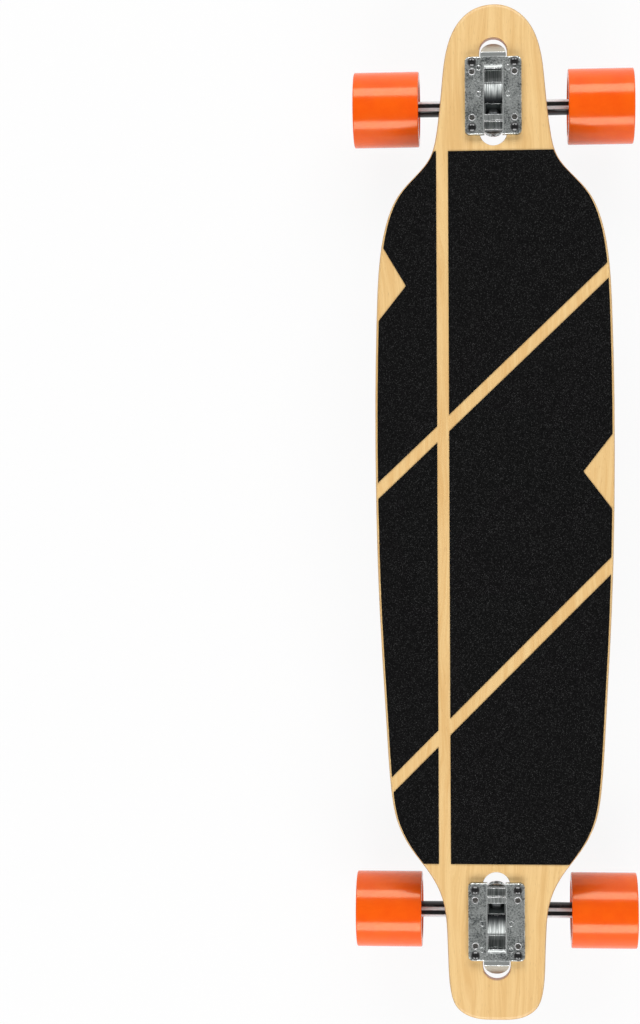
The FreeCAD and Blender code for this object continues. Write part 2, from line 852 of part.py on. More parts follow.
def make_axle_nuts():
    """Lock nuts: a hexagon and the round collar that holds the nylon ring."""
    collar_end = axle_nut_height + axle_nut_collar_height
    nut = nut_blank(axle_nut_flats, 0, axle_nut_height)
    nut = nut.fuse(disc(axle_nut_collar_diameter, axle_nut_height, collar_end))
    nut = nut.cut(disc(axle_diameter + 2 * thread_clearance, -overrun, collar_end + overrun))
    nut = nut.removeSplitter().Solids[0]
    nut.rotate(V(0, 0, 0), V(0, 1, 0), 90)
    nut.translate(V(axle_nut_start, 0, 0))
    return [on_axle_line(piece) for piece in on_both_sides(nut)]


def make_bearing_spacers():
    bore = axle_diameter + 2 * ring_clearance
    spacer = sleeve(spacer_diameter, bore, spacer_start, outer_bearing)
    return [on_axle_line(piece) for piece in on_both_sides(spacer)]


ball_circle = (inner_ring_diameter + outer_ring_bore) / 4


def raceway(start):
    """The ring-shaped groove that the balls of one bearing run in."""
    groove = ball_diameter / 2 + ball_clearance
    return Part.makeTorus(ball_circle, groove, V(start + bearing_width / 2, 0, 0), V(1, 0, 0))


def make_bearing_inner_rings():
    bore = axle_diameter + 2 * ring_clearance
    rings = []
    for start in (inner_bearing, outer_bearing):
        ring = sleeve(inner_ring_diameter, bore, start, start + bearing_width).cut(raceway(start))
        rings += on_both_sides(ring)
    return [on_axle_line(ring) for ring in rings]


def make_bearing_outer_rings():
    rings = []
    for start in (inner_bearing, outer_bearing):
        ring = sleeve(bearing_diameter, outer_ring_bore, start, start + bearing_width)
        rings.append(ring.cut(raceway(start)))
    return rings


def ball_places(start):
    middle = start + bearing_width / 2
    places = []
    for index in range(ball_count):
        angle = 2 * math.pi * index / ball_count
        places.append(V(middle, ball_circle * math.cos(angle), ball_circle * math.sin(angle)))
    return places


def make_bearing_balls():
    balls = []
    for start in (inner_bearing, outer_bearing):
        balls += [Part.makeSphere(ball_diameter / 2, place) for place in ball_places(start)]
    return balls


def make_bearing_cages():
    """A crown ring per bearing, with a round pocket for every ball."""
    cages = []
    for start in (inner_bearing, outer_bearing):
        middle = start + bearing_width / 2
        cage = sleeve(
            2 * ball_circle + cage_height,
            2 * ball_circle - cage_height,
            middle - cage_width / 2 - ball_diameter / 4,
            middle + cage_width / 2 - ball_diameter / 4,
        )
        hub = V(middle, 0, 0)
        for place in ball_places(start):
            pocket = ball_diameter / 2 + cage_pocket_clearance
            cage = cage.cut(Part.makeCylinder(pocket, bearing_diameter, hub, place - hub))
        cages += cage.Solids
    return cages


def make_bearing_shields():
    shields = []
    for start in (inner_bearing, outer_bearing):
        near = start + shield_inset
        far = start + bearing_width - shield_inset
        for low in (near, far - shield_thickness):
            bore = inner_ring_diameter + 2 * shield_gap
            shields.append(sleeve(outer_ring_bore, bore, low, low + shield_thickness))
    return shields


def bowl(rim, foot):
    """An arc from the lip of a wheel face down to its hub, sagging towards the urethane."""
    run = foot - rim
    side = V(-run.y, run.x, 0)
    side.normalize()
    if side.y < 0:
        side = -side
    return Part.Arc(rim, (rim + foot) * 0.5 + side * wheel_dish_sag, foot).toShape()


def make_wheel():
    """The urethane tyre, turned about the axle: square tread, rounded lips and a dish on each face."""
    end = wheel_start + wheel_width
    radius = wheel_diameter / 2
    seat = bearing_diameter / 2 + bearing_seat_clearance
    lip = radius - wheel_edge_radius - wheel_lip_width
    dish = wheel_dish_diameter / 2
    core = wheel_core_diameter / 2
    hub = [
        V(outer_washer + wheel_dish_floor, dish, 0),
        V(outer_washer, dish - wheel_dish_floor, 0),
        V(outer_washer, seat, 0),
        V(outer_bearing, seat, 0),
        V(outer_bearing, core, 0),
        V(spacer_start, core, 0),
        V(spacer_start, seat, 0),
        V(inner_bearing, seat, 0),
        V(inner_bearing, dish - wheel_dish_floor, 0),
        V(inner_bearing - wheel_dish_floor, dish, 0),
    ]
    tread = [V(wheel_start, lip, 0), V(wheel_start, radius, 0), V(end, radius, 0), V(end, lip, 0)]
    edges = Part.makePolygon(hub).Edges + Part.makePolygon(tread).Edges
    edges.append(bowl(tread[-1], hub[0]))
    edges.append(bowl(tread[0], hub[-1]))
    section = Part.Face(Part.Wire(Part.__sortEdges__(edges)))
    wheel = section.revolve(V(0, 0, 0), V(1, 0, 0), 360)
    corners = [
        edge for edge in wheel.Edges
        if edge.BoundBox.XLength < overrun and edge.BoundBox.YLength > wheel_diameter - wheel_edge_radius
    ]
    return wheel.makeFillet(wheel_edge_radius, corners).Solids


def write_node(name, solids, place):
    placed = []
    for solid in solids:
        copy = solid.copy()
        copy.Placement = place.multiply(copy.Placement)
        placed.append(copy)
    shape = placed[0] if len(placed) == 1 else Part.makeCompound(placed)
    shape.exportStep(os.path.join("parts", name + ".step"))


truck_makers = {
    "baseplate": make_baseplate,
    "pivot_cup": make_pivot_cup,
    "kingpin": make_kingpin,
    "kingpin_nut": make_kingpin_nut,
    "boardside_bushing": make_boardside_bushing,
    "roadside_bushing": make_roadside_bushing,
    "boardside_washer": make_boardside_washer,
    "roadside_washer": make_roadside_washer,
    "mounting_bolts": make_mounting_bolts,
    "mounting_nuts": make_mounting_nuts,
    "mounting_washers": make_mounting_washers,
    "hanger": make_hanger,
    "axle": make_axle,
    "axle_nuts": make_axle_nuts,
    "speed_washers": make_speed_washers,
    "bearing_inner_rings": make_bearing_inner_rings,
    "bearing_spacers": make_bearing_spacers,
}

wheel_makers = {
    "wheel": make_wheel,
    "bearing_outer_rings": make_bearing_outer_rings,
    "bearing_balls": make_bearing_balls,
    "bearing_cages": make_bearing_cages,
    "bearing_shields": make_bearing_shields,
}


def main():
    os.makedirs("parts", exist_ok=True)
    half_turn = FreeCAD.Rotation(V(0, 0, 1), 180)
    truck_places = {
        "front": FreeCAD.Placement(V(0, half_length - nose_setback, deck_top), FreeCAD.Rotation()),
        "rear": FreeCAD.Placement(V(0, -half_length + tail_setback, deck_top), half_turn),
    }
    here = FreeCAD.Placement()
    write_node("deck", make_deck(truck_places), here)
    write_node("grip_tape", make_grip_tape(), here)
    for kind, maker in truck_makers.items():
        solids = maker()
        for end, place in truck_places.items():
            write_node(end + "_" + kind, solids, place)
    axle_line = FreeCAD.Placement(V(0, -axle_inset, -axle_drop), FreeCAD.Rotation())
    far_side = FreeCAD.Placement(V(0, -axle_inset, -axle_drop), half_turn)
    corners = {
        "front_right": truck_places["front"].multiply(axle_line),
        "front_left": truck_places["front"].multiply(far_side),
        "rear_left": truck_places["rear"].multiply(axle_line),
        "rear_right": truck_places["rear"].multiply(far_side),
    }
    for kind, maker in wheel_makers.items():
        solids = maker()
        for corner, place in corners.items():
            write_node(corner + "_" + kind, solids, place)


main()
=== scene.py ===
# %% [markdown]
# # A drop-through longboard, dressed in Blender
# The CAD model gives every piece of the board its shape and its place. This lesson loads it as a fixed
# frame, gives each piece a finish made of shader nodes, adds a few small turned pieces, and sets up the
# studio. Every length is in metres: X is to the right, Y to the nose and Z up from where the wheels stand.

# %% Load the frame
import bpy
import json
import math
import numpy as np
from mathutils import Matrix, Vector


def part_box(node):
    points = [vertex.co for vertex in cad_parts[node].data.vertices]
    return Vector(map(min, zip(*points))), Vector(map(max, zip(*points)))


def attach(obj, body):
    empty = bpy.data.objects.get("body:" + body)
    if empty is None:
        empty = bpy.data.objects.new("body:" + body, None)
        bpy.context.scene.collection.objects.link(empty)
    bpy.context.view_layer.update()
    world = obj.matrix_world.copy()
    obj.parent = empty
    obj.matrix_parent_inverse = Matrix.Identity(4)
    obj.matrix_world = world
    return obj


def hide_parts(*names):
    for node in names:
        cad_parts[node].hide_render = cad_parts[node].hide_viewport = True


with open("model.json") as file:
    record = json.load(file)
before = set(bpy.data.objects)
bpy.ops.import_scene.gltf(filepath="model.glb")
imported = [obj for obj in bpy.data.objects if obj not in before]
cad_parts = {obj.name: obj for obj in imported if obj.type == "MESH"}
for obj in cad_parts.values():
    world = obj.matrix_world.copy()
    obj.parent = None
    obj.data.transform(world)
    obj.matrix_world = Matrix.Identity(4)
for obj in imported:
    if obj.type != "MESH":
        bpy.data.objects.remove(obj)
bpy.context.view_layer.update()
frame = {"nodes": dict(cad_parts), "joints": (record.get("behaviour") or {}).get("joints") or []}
nodes = frame["nodes"]

# %% [markdown]
# ## Sizes that the finishes need
# A finish that knows where the deck's plies lie, or where a truck is bolted on, needs a few sizes of the
# board. The deck's lowest point can be read from the frame, so it follows the piece. The others lie inside
# a piece, where no box shows them, so they are typed in once: the top of the flat middle, the concave's flat
# half width and radius, and each truck's middle along Y with the way that it faces.

# %% Read the sizes
deck_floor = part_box("deck")[0].z
deck_top = 0.0975
deck_thickness = deck_top - deck_floor
concave_flat = 0.065
concave_radius = 0.252
ply_count = 8
truck_ends = {"front": (0.4057, 1.0), "rear": (-0.3994, -1.0)}
sides = (("left", -1.0), ("right", 1.0))
print("deck thickness", round(deck_thickness, 4))

# %% [markdown]
# ## A short way to write shader nodes
# Shader trees can be drawn by hand in the editor. In a script, a few one-line helpers keep each finish
# readable: one adds a node, one feeds an input with a link or with a plain value, and the others make
# the few nodes that come up again and again.

# %% Node helpers
def add_node(tree, kind, **settings):
    """Put one node into a tree and set its properties."""
    made = tree.nodes.new(kind)
    for name, value in settings.items():
        setattr(made, name, value)
    return made


def feed(tree, value, socket):
    """Link another node's output to an input, or set a plain value on it."""
    if isinstance(value, bpy.types.NodeSocket):
        tree.links.new(value, socket)
    else:
        socket.default_value = value


def calc(tree, operation, *values):
    """One Math node on numbers or outputs."""
    made = add_node(tree, "ShaderNodeMath", operation=operation)
    for value, socket in zip(values, made.inputs):
        feed(tree, value, socket)
    return made.outputs[0]


def rise(tree, value, low, high):
    """A mask that climbs smoothly from 0 at low to 1 at high."""
    made = add_node(tree, "ShaderNodeMapRange", interpolation_type="SMOOTHSTEP")
    for name, given in (("Value", value), ("From Min", low), ("From Max", high)):
        feed(tree, given, made.inputs[name])
    return made.outputs["Result"]


def spread(tree, value, low, high):
    """A straight map of 0..1 to low..high."""
    made = add_node(tree, "ShaderNodeMapRange")
    for name, given in (("Value", value), ("To Min", low), ("To Max", high)):
        feed(tree, given, made.inputs[name])
    return made.outputs["Result"]


def apart(tree, first, second):
    """How far two offsets at right angles lead: the root of first ** 2 + second ** 2."""
    squares = calc(tree, "ADD", calc(tree, "POWER", first, 2.0), calc(tree, "POWER", second, 2.0))
    return calc(tree, "SQRT", squares)


def tint(tree, mask, first, second):
    """Mix two colours: the first where the mask is 0, the second where it is 1."""
    made = add_node(tree, "ShaderNodeMix", data_type="RGBA")
    for index, given in ((0, mask), (6, first), (7, second)):
        feed(tree, given, made.inputs[index])
    return made.outputs[2]


def mapped(tree, vector, scale=(1, 1, 1), location=(0, 0, 0), rotation=(0, 0, 0)):
    """A Mapping node: stretch, move or turn a pattern's coordinates."""
    made = add_node(tree, "ShaderNodeMapping")
    feed(tree, vector, made.inputs["Vector"])
    made.inputs["Scale"].default_value = scale
    made.inputs["Location"].default_value = location
    made.inputs["Rotation"].default_value = rotation
    return made.outputs["Vector"]


def noise(tree, vector, scale, detail=3.0, roughness=0.55):
    """The grey value of a Noise texture."""
    made = add_node(tree, "ShaderNodeTexNoise")
    feed(tree, vector, made.inputs["Vector"])
    feed(tree, scale, made.inputs["Scale"])
    made.inputs["Detail"].default_value = detail
    made.inputs["Roughness"].default_value = roughness
    return made.outputs[0]


def split(tree, vector):
    """The X, Y and Z outputs of a vector."""
    made = add_node(tree, "ShaderNodeSeparateXYZ")
    feed(tree, vector, made.inputs[0])
    return made.outputs


def place(tree):
    """Object coordinates and the object's own normal."""
    made = add_node(tree, "ShaderNodeTexCoord")
    return made.outputs["Object"], made.outputs["Normal"]


def bump(tree, height, distance, strength=1.0, over=None):
    """A Bump node's normal from a height of 0..1, in metres of distance, over another normal if given."""
    made = add_node(tree, "ShaderNodeBump")
    if over is not None:
        feed(tree, over, made.inputs["Normal"])
    feed(tree, height, made.inputs["Height"])
    made.inputs["Distance"].default_value = distance
    made.inputs["Strength"].default_value = strength
    return made.outputs["Normal"]


def new_finish(name, **plain):
    """A material with one Principled BSDF; the plain values go on its own sockets."""
    finish = bpy.data.materials.new(name)
    finish.use_nodes = True
    shader = finish.node_tree.nodes["Principled BSDF"]
    for socket, value in plain.items():
        shader.inputs[socket.replace("_", " ")].default_value = value
    return finish, finish.node_tree, shader.inputs


print("helpers ready")

# %% [markdown]
# ## Shared effects as node groups
# Bare castings, painted castings and fasteners all show the same few things: worn corners, a mottled
# skin from tumbling, and fine rubbed marks. Each is built once as a group with named sockets, so every
# finish can use it with its own values. The groups put out masks and heights; the shaders stay outside.

# %% A group with named sockets
def new_group(name, inputs, outputs):
    """An empty shader node group; inputs are (name, kind, start value), outputs are names."""
    group = bpy.data.node_groups.new(name, "ShaderNodeTree")
    for title, kind, start in inputs:
        made = group.interface.new_socket(title, in_out="INPUT", socket_type=kind)
        if start is not None:
            made.default_value = start
    for title in outputs:
        kind = "NodeSocketVector" if title == "Normal" else "NodeSocketFloat"
        group.interface.new_socket(title, in_out="OUTPUT", socket_type=kind)
    entry = group.nodes.new("NodeGroupInput").outputs
    leave = group.nodes.new("NodeGroupOutput").inputs
    return group, entry, leave


def use_group(tree, group, **values):
    """Place a group in a finish and feed its inputs by name."""
    made = add_node(tree, "ShaderNodeGroup", node_tree=group)
    for title, value in values.items():
        feed(tree, value, made.inputs[title])
    return made.outputs


print("group helpers ready")

# %% [markdown]
# Corners of a painted or blackened piece lose their coat first. The Bevel node gives the normal that a
# rounded corner would have; where it leaves the true normal, there is a corner. A noise breaks the line
# up, so that the wear comes and goes along it. On the bare baseplates the same mask lightens the corners
# to near white, as a painted edge highlight.

# %% Worn corners and painted edge highlights
corner_wear_and_sheen, entry, leave = new_group(
    "corner_wear_and_sheen",
    [
        ("Vector", "NodeSocketVector", None),
        ("Width", "NodeSocketFloat", 0.0006),
        ("Amount", "NodeSocketFloat", 0.5),
    ],
    ["Mask", "Normal"],
)
rounded = add_node(corner_wear_and_sheen, "ShaderNodeBevel", samples=4)
feed(corner_wear_and_sheen, entry["Width"], rounded.inputs["Radius"])
true_normal = add_node(corner_wear_and_sheen, "ShaderNodeNewGeometry").outputs["Normal"]
likeness = add_node(corner_wear_and_sheen, "ShaderNodeVectorMath", operation="DOT_PRODUCT")
feed(corner_wear_and_sheen, rounded.outputs[0], likeness.inputs[0])
feed(corner_wear_and_sheen, true_normal, likeness.inputs[1])
corner = calc(corner_wear_and_sheen, "SUBTRACT", 1.0, likeness.outputs["Value"])
patchy = noise(corner_wear_and_sheen, entry["Vector"], 240.0, 5.0, 0.7)
reach = calc(corner_wear_and_sheen, "MULTIPLY", corner, rise(corner_wear_and_sheen, patchy, 0.38, 0.62))
bared = calc(corner_wear_and_sheen, "MULTIPLY", rise(corner_wear_and_sheen, reach, 0.02, 0.1), entry["Amount"])
feed(corner_wear_and_sheen, bared, leave["Mask"])
feed(corner_wear_and_sheen, rounded.outputs[0], leave["Normal"])
print("group:", corner_wear_and_sheen.name)

# %% [markdown]
# A tumbled casting is covered in small dents that catch the light one by one, over broad clouds where it
# was rubbed more or less. Three noises of different size give a tone and a height that belong together.

# %% Tumbled skin
tumbled_skin, entry, leave = new_group(
    "tumbled_skin",
    [("Vector", "NodeSocketVector", None), ("Size", "NodeSocketFloat", 260.0)],
    ["Tone", "Height"],
)
dents = add_node(tumbled_skin, "ShaderNodeTexVoronoi", feature="SMOOTH_F1")
feed(tumbled_skin, entry["Vector"], dents.inputs["Vector"])
feed(tumbled_skin, entry["Size"], dents.inputs["Scale"])
clouds = noise(tumbled_skin, entry["Vector"], calc(tumbled_skin, "MULTIPLY", entry["Size"], 0.9), 5.0, 0.65)
fine = noise(tumbled_skin, entry["Vector"], calc(tumbled_skin, "MULTIPLY", entry["Size"], 4.0), 3.0)
broad = noise(tumbled_skin, entry["Vector"], calc(tumbled_skin, "MULTIPLY", entry["Size"], 0.16), 3.0, 0.6)
tone = calc(tumbled_skin, "MULTIPLY_ADD", fine, 0.36, calc(tumbled_skin, "MULTIPLY", clouds, 0.4))
tone = calc(tumbled_skin, "MULTIPLY_ADD", broad, 0.24, tone)
feed(tumbled_skin, rise(tumbled_skin, tone, 0.43, 0.58), leave["Tone"])
dented = calc(tumbled_skin, "MULTIPLY_ADD", dents.outputs["Distance"], 0.6, tone)
feed(tumbled_skin, dented, leave["Height"])
print("group:", tumbled_skin.name)

# %% [markdown]
# Handling and rolling leave faint rubbed marks on every gloss. They hardly change a colour, but they
# break up a reflection, so this group puts out only a small roughness mask.

# %% Rubbed marks
rubbed_marks, entry, leave = new_group(
    "rubbed_marks",
    [("Vector", "NodeSocketVector", None), ("Size", "NodeSocketFloat", 60.0)],
    ["Mask"],
)
smear = noise(rubbed_marks, entry["Vector"], entry["Size"], 6.0, 0.68)
slanted = mapped(rubbed_marks, entry["Vector"], (1, 14, 5), rotation=(0.3, 0.2, 0.7))
scratch = noise(rubbed_marks, slanted, 90.0, 4.0, 0.7)
smears = rise(rubbed_marks, smear, 0.4, 0.75)
both = calc(rubbed_marks, "MULTIPLY_ADD", rise(rubbed_marks, scratch, 0.56, 0.72), 0.5, smears)
feed(rubbed_marks, calc(rubbed_marks, "MINIMUM", both, 1.0), leave["Mask"])
print("group:", rubbed_marks.name)

# %% [markdown]
# ## The deck: maple plies, clear lacquer and a printed underside
# The deck is eight thin maple veneers pressed over a mould. Its top shows one veneer with the grain
# along the board, its edge shows all eight with glue lines between them, and its underside is printed.
# It could be three objects, but one material can do it all: the object's own normal says whether a
# point is on the top, the edge or the underside, and the height above the curved mould says which ply.

# %% Where a point lies in the laminate
maple, tree, deck_inputs = new_finish("maple_laminate", Specular_IOR_Level=0.45, Coat_Roughness=0.22)
coords, normal = place(tree)
x, y, z = split(tree, coords)
facing = split(tree, normal)[2]
beyond_flat = calc(tree, "MAXIMUM", calc(tree, "SUBTRACT", calc(tree, "ABSOLUTE", x), concave_flat), 0.0)
under_root = calc(tree, "SUBTRACT", concave_radius ** 2, calc(tree, "POWER", beyond_flat, 2.0))
mould = calc(tree, "SUBTRACT", concave_radius, calc(tree, "SQRT", under_root))
height = calc(tree, "SUBTRACT", calc(tree, "SUBTRACT", z, deck_floor), mould)
level = calc(tree, "MULTIPLY", height, ply_count / deck_thickness)
on_top = rise(tree, facing, 0.5, 0.72)
on_underside = rise(tree, calc(tree, "MULTIPLY", facing, -1.0), 0.5, 0.72)
print("laminate height goes from 0 to", ply_count)

# %% Maple grain on the top veneer
wander = noise(tree, mapped(tree, coords, (1.0, 0.18, 1.0)), 26.0, 2.0)
drifted = calc(tree, "MULTIPLY_ADD", wander, 0.035, x)
grain_place = add_node(tree, "ShaderNodeCombineXYZ")
feed(tree, drifted, grain_place.inputs[0])
feed(tree, calc(tree, "MULTIPLY", y, 0.03), grain_place.inputs[1])
feed(tree, calc(tree, "MULTIPLY", z, 0.2), grain_place.inputs[2])
broad = noise(tree, grain_place.outputs[0], 150.0, 3.0, 0.5)
fibre = noise(tree, grain_place.outputs[0], 900.0, 4.0, 0.6)
pores = noise(tree, mapped(tree, coords, (1.0, 0.09, 1.0)), 1700.0, 2.0, 0.5)
grain = calc(tree, "MULTIPLY_ADD", fibre, 0.45, calc(tree, "MULTIPLY", broad, 0.55))
veneer = tint(tree, rise(tree, grain, 0.36, 0.66), (0.90, 0.615, 0.275, 1), (0.79, 0.485, 0.185, 1))
pore_mask = calc(tree, "MULTIPLY", rise(tree, pores, 0.62, 0.74), 0.35)
veneer = tint(tree, pore_mask, veneer, (0.47, 0.25, 0.09, 1))
print("veneer streaks run along Y")

# %% Plies and glue lines on the edge
ply = calc(tree, "FLOOR", level)
ply_tone = add_node(tree, "ShaderNodeTexWhiteNoise", noise_dimensions="1D")
feed(tree, calc(tree, "ADD", ply, 0.5), ply_tone.inputs["W"])
within = calc(tree, "FRACT", level)
to_joint = calc(tree, "MINIMUM", within, calc(tree, "SUBTRACT", 1.0, within))
glue = calc(tree, "SUBTRACT", 1.0, rise(tree, to_joint, 0.03, 0.11))
end_grain = noise(tree, mapped(tree, coords, (1, 1, 0.3)), 1500.0, 4.0, 0.6)
own_tone = calc(tree, "MULTIPLY", ply_tone.outputs["Value"], 0.6)
ply_shade = calc(tree, "MULTIPLY_ADD", end_grain, 0.5, own_tone)
edge = tint(tree, rise(tree, ply_shade, 0.1, 1.0), (0.80, 0.52, 0.24, 1), (0.56, 0.32, 0.125, 1))
edge = tint(tree, calc(tree, "MULTIPLY", glue, 0.6), edge, (0.16, 0.075, 0.03, 1))
wood = tint(tree, on_top, edge, veneer)
print("plies:", ply_count)

# %% [markdown]
# The underside carries a plain printed design: chevrons down the middle, pinstripes along the rails and
# two fields of dots. Such a print could be a picture file. Masks worked out from X and Y stay sharp at
# any distance and need no file: a stripe is a distance to a line, a dot a distance to a grid point.

# %% Inks
ground_ink = (0.020, 0.0135, 0.0105, 1)
orange_ink = (0.78, 0.17, 0.022, 1)
teal_ink = (0.075, 0.155, 0.175, 1)
peach_ink = (0.86, 0.47, 0.27, 1)
line_ink = (0.72, 0.15, 0.02, 1)
dot_ink = (0.086, 0.17, 0.19, 1)
print("inks: 6")

# %% Chevrons
ink_soft = 0.00015


def stripe(tree, value, centre, width):
    """1 within half a width of the centre, 0 outside, with the ink's soft edge."""
    away = calc(tree, "ABSOLUTE", calc(tree, "SUBTRACT", value, centre))
    return calc(tree, "SUBTRACT", 1.0, rise(tree, away, width / 2 - ink_soft, width / 2 + ink_soft))


chevron_slope = 0.85
chevron_length = 0.36
across = calc(tree, "ABSOLUTE", x)
chevron = calc(tree, "MULTIPLY_ADD", across, chevron_slope, y)
print_width = stripe(tree, x, 0.0, 0.142)
chevron_field = calc(tree, "MULTIPLY", print_width, stripe(tree, chevron, 0.0, chevron_length))
bands = [
    (0.135, 0.044, orange_ink),
    (0.077, 0.040, teal_ink),
    (0.031, 0.024, peach_ink),
    (-0.012, 0.036, orange_ink),
    (-0.066, 0.044, teal_ink),
    (-0.114, 0.026, peach_ink),
    (-0.152, 0.024, orange_ink),
]
printed = tint(tree, on_underside, wood, ground_ink)
for centre, width, ink in bands:
    inked = calc(tree, "MULTIPLY", stripe(tree, chevron, centre, width), chevron_field)
    printed = tint(tree, calc(tree, "MULTIPLY", inked, on_underside), printed, ink)
print("chevrons:", len(bands))

# %% Pinstripes and dots
pinstripes = (0.0815, 0.0870, 0.0955)
pinstripe_width, pinstripe_length = 0.0016, 0.56
for line in pinstripes:
    inked = calc(tree, "MULTIPLY", stripe(tree, across, line, pinstripe_width), on_underside)
    inked = calc(tree, "MULTIPLY", inked, stripe(tree, y, 0.0, pinstripe_length))
    printed = tint(tree, inked, printed, line_ink)
dot_pitch, dot_radius = 0.007, 0.0018
grid_x = calc(tree, "PINGPONG", calc(tree, "ADD", x, dot_pitch), dot_pitch)
grid_y = calc(tree, "PINGPONG", y, dot_pitch)
off_x = calc(tree, "SUBTRACT", grid_x, dot_pitch / 2)
off_y = calc(tree, "SUBTRACT", grid_y, dot_pitch / 2)
outside = rise(tree, apart(tree, off_x, off_y), dot_radius - ink_soft, dot_radius + ink_soft)
dot = calc(tree, "SUBTRACT", 1.0, outside)
dots_middle, dots_length = 0.262, 0.072
dot_rows = stripe(tree, calc(tree, "ABSOLUTE", y), dots_middle, dots_length)
dot_field = calc(tree, "MULTIPLY", print_width, dot_rows)
dots = calc(tree, "MULTIPLY", calc(tree, "MULTIPLY", dot, dot_field), on_underside)
printed = tint(tree, dots, printed, dot_ink)
print("pinstripes on each side:", len(pinstripes), "dot pitch", dot_pitch)

# %% [markdown]
# Under a bolted plate the veneer is painted grey as painted shade. It only shows at the bottom of the
# plate's spare bolt holes.

# %% Painted shade under the plates
hole_shade_grey = (0.20, 0.19, 0.175, 1)
plate_side = stripe(tree, across, 0.0205, 0.012)
plate_length = 0.072
for middle, _ in truck_ends.values():
    hole_shade = calc(tree, "MULTIPLY", plate_side, stripe(tree, y, middle, plate_length))
    printed = tint(tree, calc(tree, "MULTIPLY", hole_shade, on_top), printed, hole_shade_grey)
print("pressed places:", len(truck_ends))

# %% Lacquer and small marks on the deck
marks = use_group(tree, rubbed_marks, Vector=coords, Size=28.0)["Mask"]
feed(tree, printed, deck_inputs["Base Color"])
dull = calc(tree, "MULTIPLY_ADD", marks, 0.6, calc(tree, "MULTIPLY", grain, 0.4))
feed(tree, spread(tree, dull, 0.3, 0.52), deck_inputs["Roughness"])
feed(tree, calc(tree, "MULTIPLY", calc(tree, "ADD", on_top, on_underside), 0.3), deck_inputs["Coat Weight"])
deck_relief = calc(tree, "MULTIPLY_ADD", glue, -0.6, calc(tree, "MULTIPLY", fibre, 0.5))
feed(tree, bump(tree, deck_relief, 0.00012, 0.6), deck_inputs["Normal"])
nodes["deck"].material_slots[0].material = maple
print("deck dressed")

# %% [markdown]
# ## Grip tape
# Grip tape is silicon-carbide grit glued on a black sheet: nearly black, with grains that stand up and a
# few that flash. Modelling a million grains would be waste. A Voronoi texture with cells of about half a
# millimetre gives each grain a random brightness and a small hill in the bump.

# %% Grit sheet
grit, tree, inputs = new_finish("grit_sheet", Specular_IOR_Level=0.07)
coords = place(tree)[0]
grains_per_metre = 1900.0
sheet_black = (0.0022, 0.0022, 0.0023, 1)
sheet_grey = (0.0050, 0.0050, 0.0051, 1)
flash_grey = (0.058, 0.058, 0.058, 1)
grains = add_node(tree, "ShaderNodeTexVoronoi")
feed(tree, coords, grains.inputs["Vector"])
grains.inputs["Scale"].default_value = grains_per_metre
shine = split(tree, grains.outputs["Color"])[0]
flash = rise(tree, shine, 0.86, 0.99)
patches = noise(tree, coords, 420.0, 4.0, 0.6)
grit_tone = tint(tree, rise(tree, patches, 0.35, 0.7), sheet_black, sheet_grey)
feed(tree, tint(tree, calc(tree, "MULTIPLY", flash, 0.7), grit_tone, flash_grey), inputs["Base Color"])
feed(tree, spread(tree, shine, 0.95, 0.55), inputs["Roughness"])
hill = calc(tree, "SUBTRACT", 1.0, grains.outputs["Distance"])
grain_height = calc(tree, "MULTIPLY", hill, spread(tree, shine, 0.4, 1.0))
feed(tree, bump(tree, grain_height, 0.00022, 0.8), inputs["Normal"])
nodes["grip_tape"].material_slots[0].material = grit
print("grains per metre", grains_per_metre)

# %% [markdown]
# ## Baseplates: bare metal towards the deck, orange paint towards the road
# Each baseplate is one casting. What faces up is bare tumbled metal with a brushed channel, and what
# faces the road is painted orange. The channel carries painted shade towards its floor and down its ramp,
# and painted highlights on its rim, its ledge, its corners and round the spare holes. Two objects would
# need a cut in the casting, so one finish decides by place and by the object's own normal. A Mapping node
# brings the middle of the truck to zero and turns the rear one round, so that one set of sizes serves both
# ends.

# %% Where a point lies on a baseplate
def between(tree, value, low, high, soft=0.0002):
    """1 between low and high, 0 outside, with soft edges."""
    start = rise(tree, value, low - soft, low + soft)
    stop = rise(tree, value, high - soft, high + soft)
    return calc(tree, "MULTIPLY", start, calc(tree, "SUBTRACT", 1.0, stop))


def blend_value(tree, mask, first, second):
    """Mix two values: the first where the mask is 0, the second where it is 1."""
    made = add_node(tree, "ShaderNodeMix", data_type="FLOAT")
    for index, given in ((0, mask), (2, first), (3, second)):
        feed(tree, given, made.inputs[index])
    return made.outputs[0]


def truck_place(tree, coords, middle, turn, level):
    """Coordinates with zero at the truck's middle and the given height, Y towards the board's end."""
    facing_round = (0, 0, 0 if turn > 0 else math.pi)
    return mapped(tree, coords, location=(0, -middle * turn, -level), rotation=facing_round)


print("truck coordinates ready")

# %% Places on a baseplate
channel_half = 0.0096
channel_run = (-0.034, 0.0305)
channel_depth = (-0.030, 0.0058)
shaded_depth = (-0.0075, 0.0042)
ramp_run = (-0.007, 0.0135)
ramp_shade_run = (-0.0048, 0.0085)
pocket_run = (0.0135, 0.0268)
ledge_run = (0.0268, 0.0320)
tongue_start = (0.0355, 0.0375)
# A painted highlight runs along each side of the channel, over these two spans.
rim_highlight_width = (0.0087, 0.0102)
rim_highlight_run = (-0.037, 0.0315)
spare_hole_x, spare_hole_y = 0.02064, 0.02225
hole_rim = (0.0022, 0.0034)
print("channel width", 2 * channel_half)


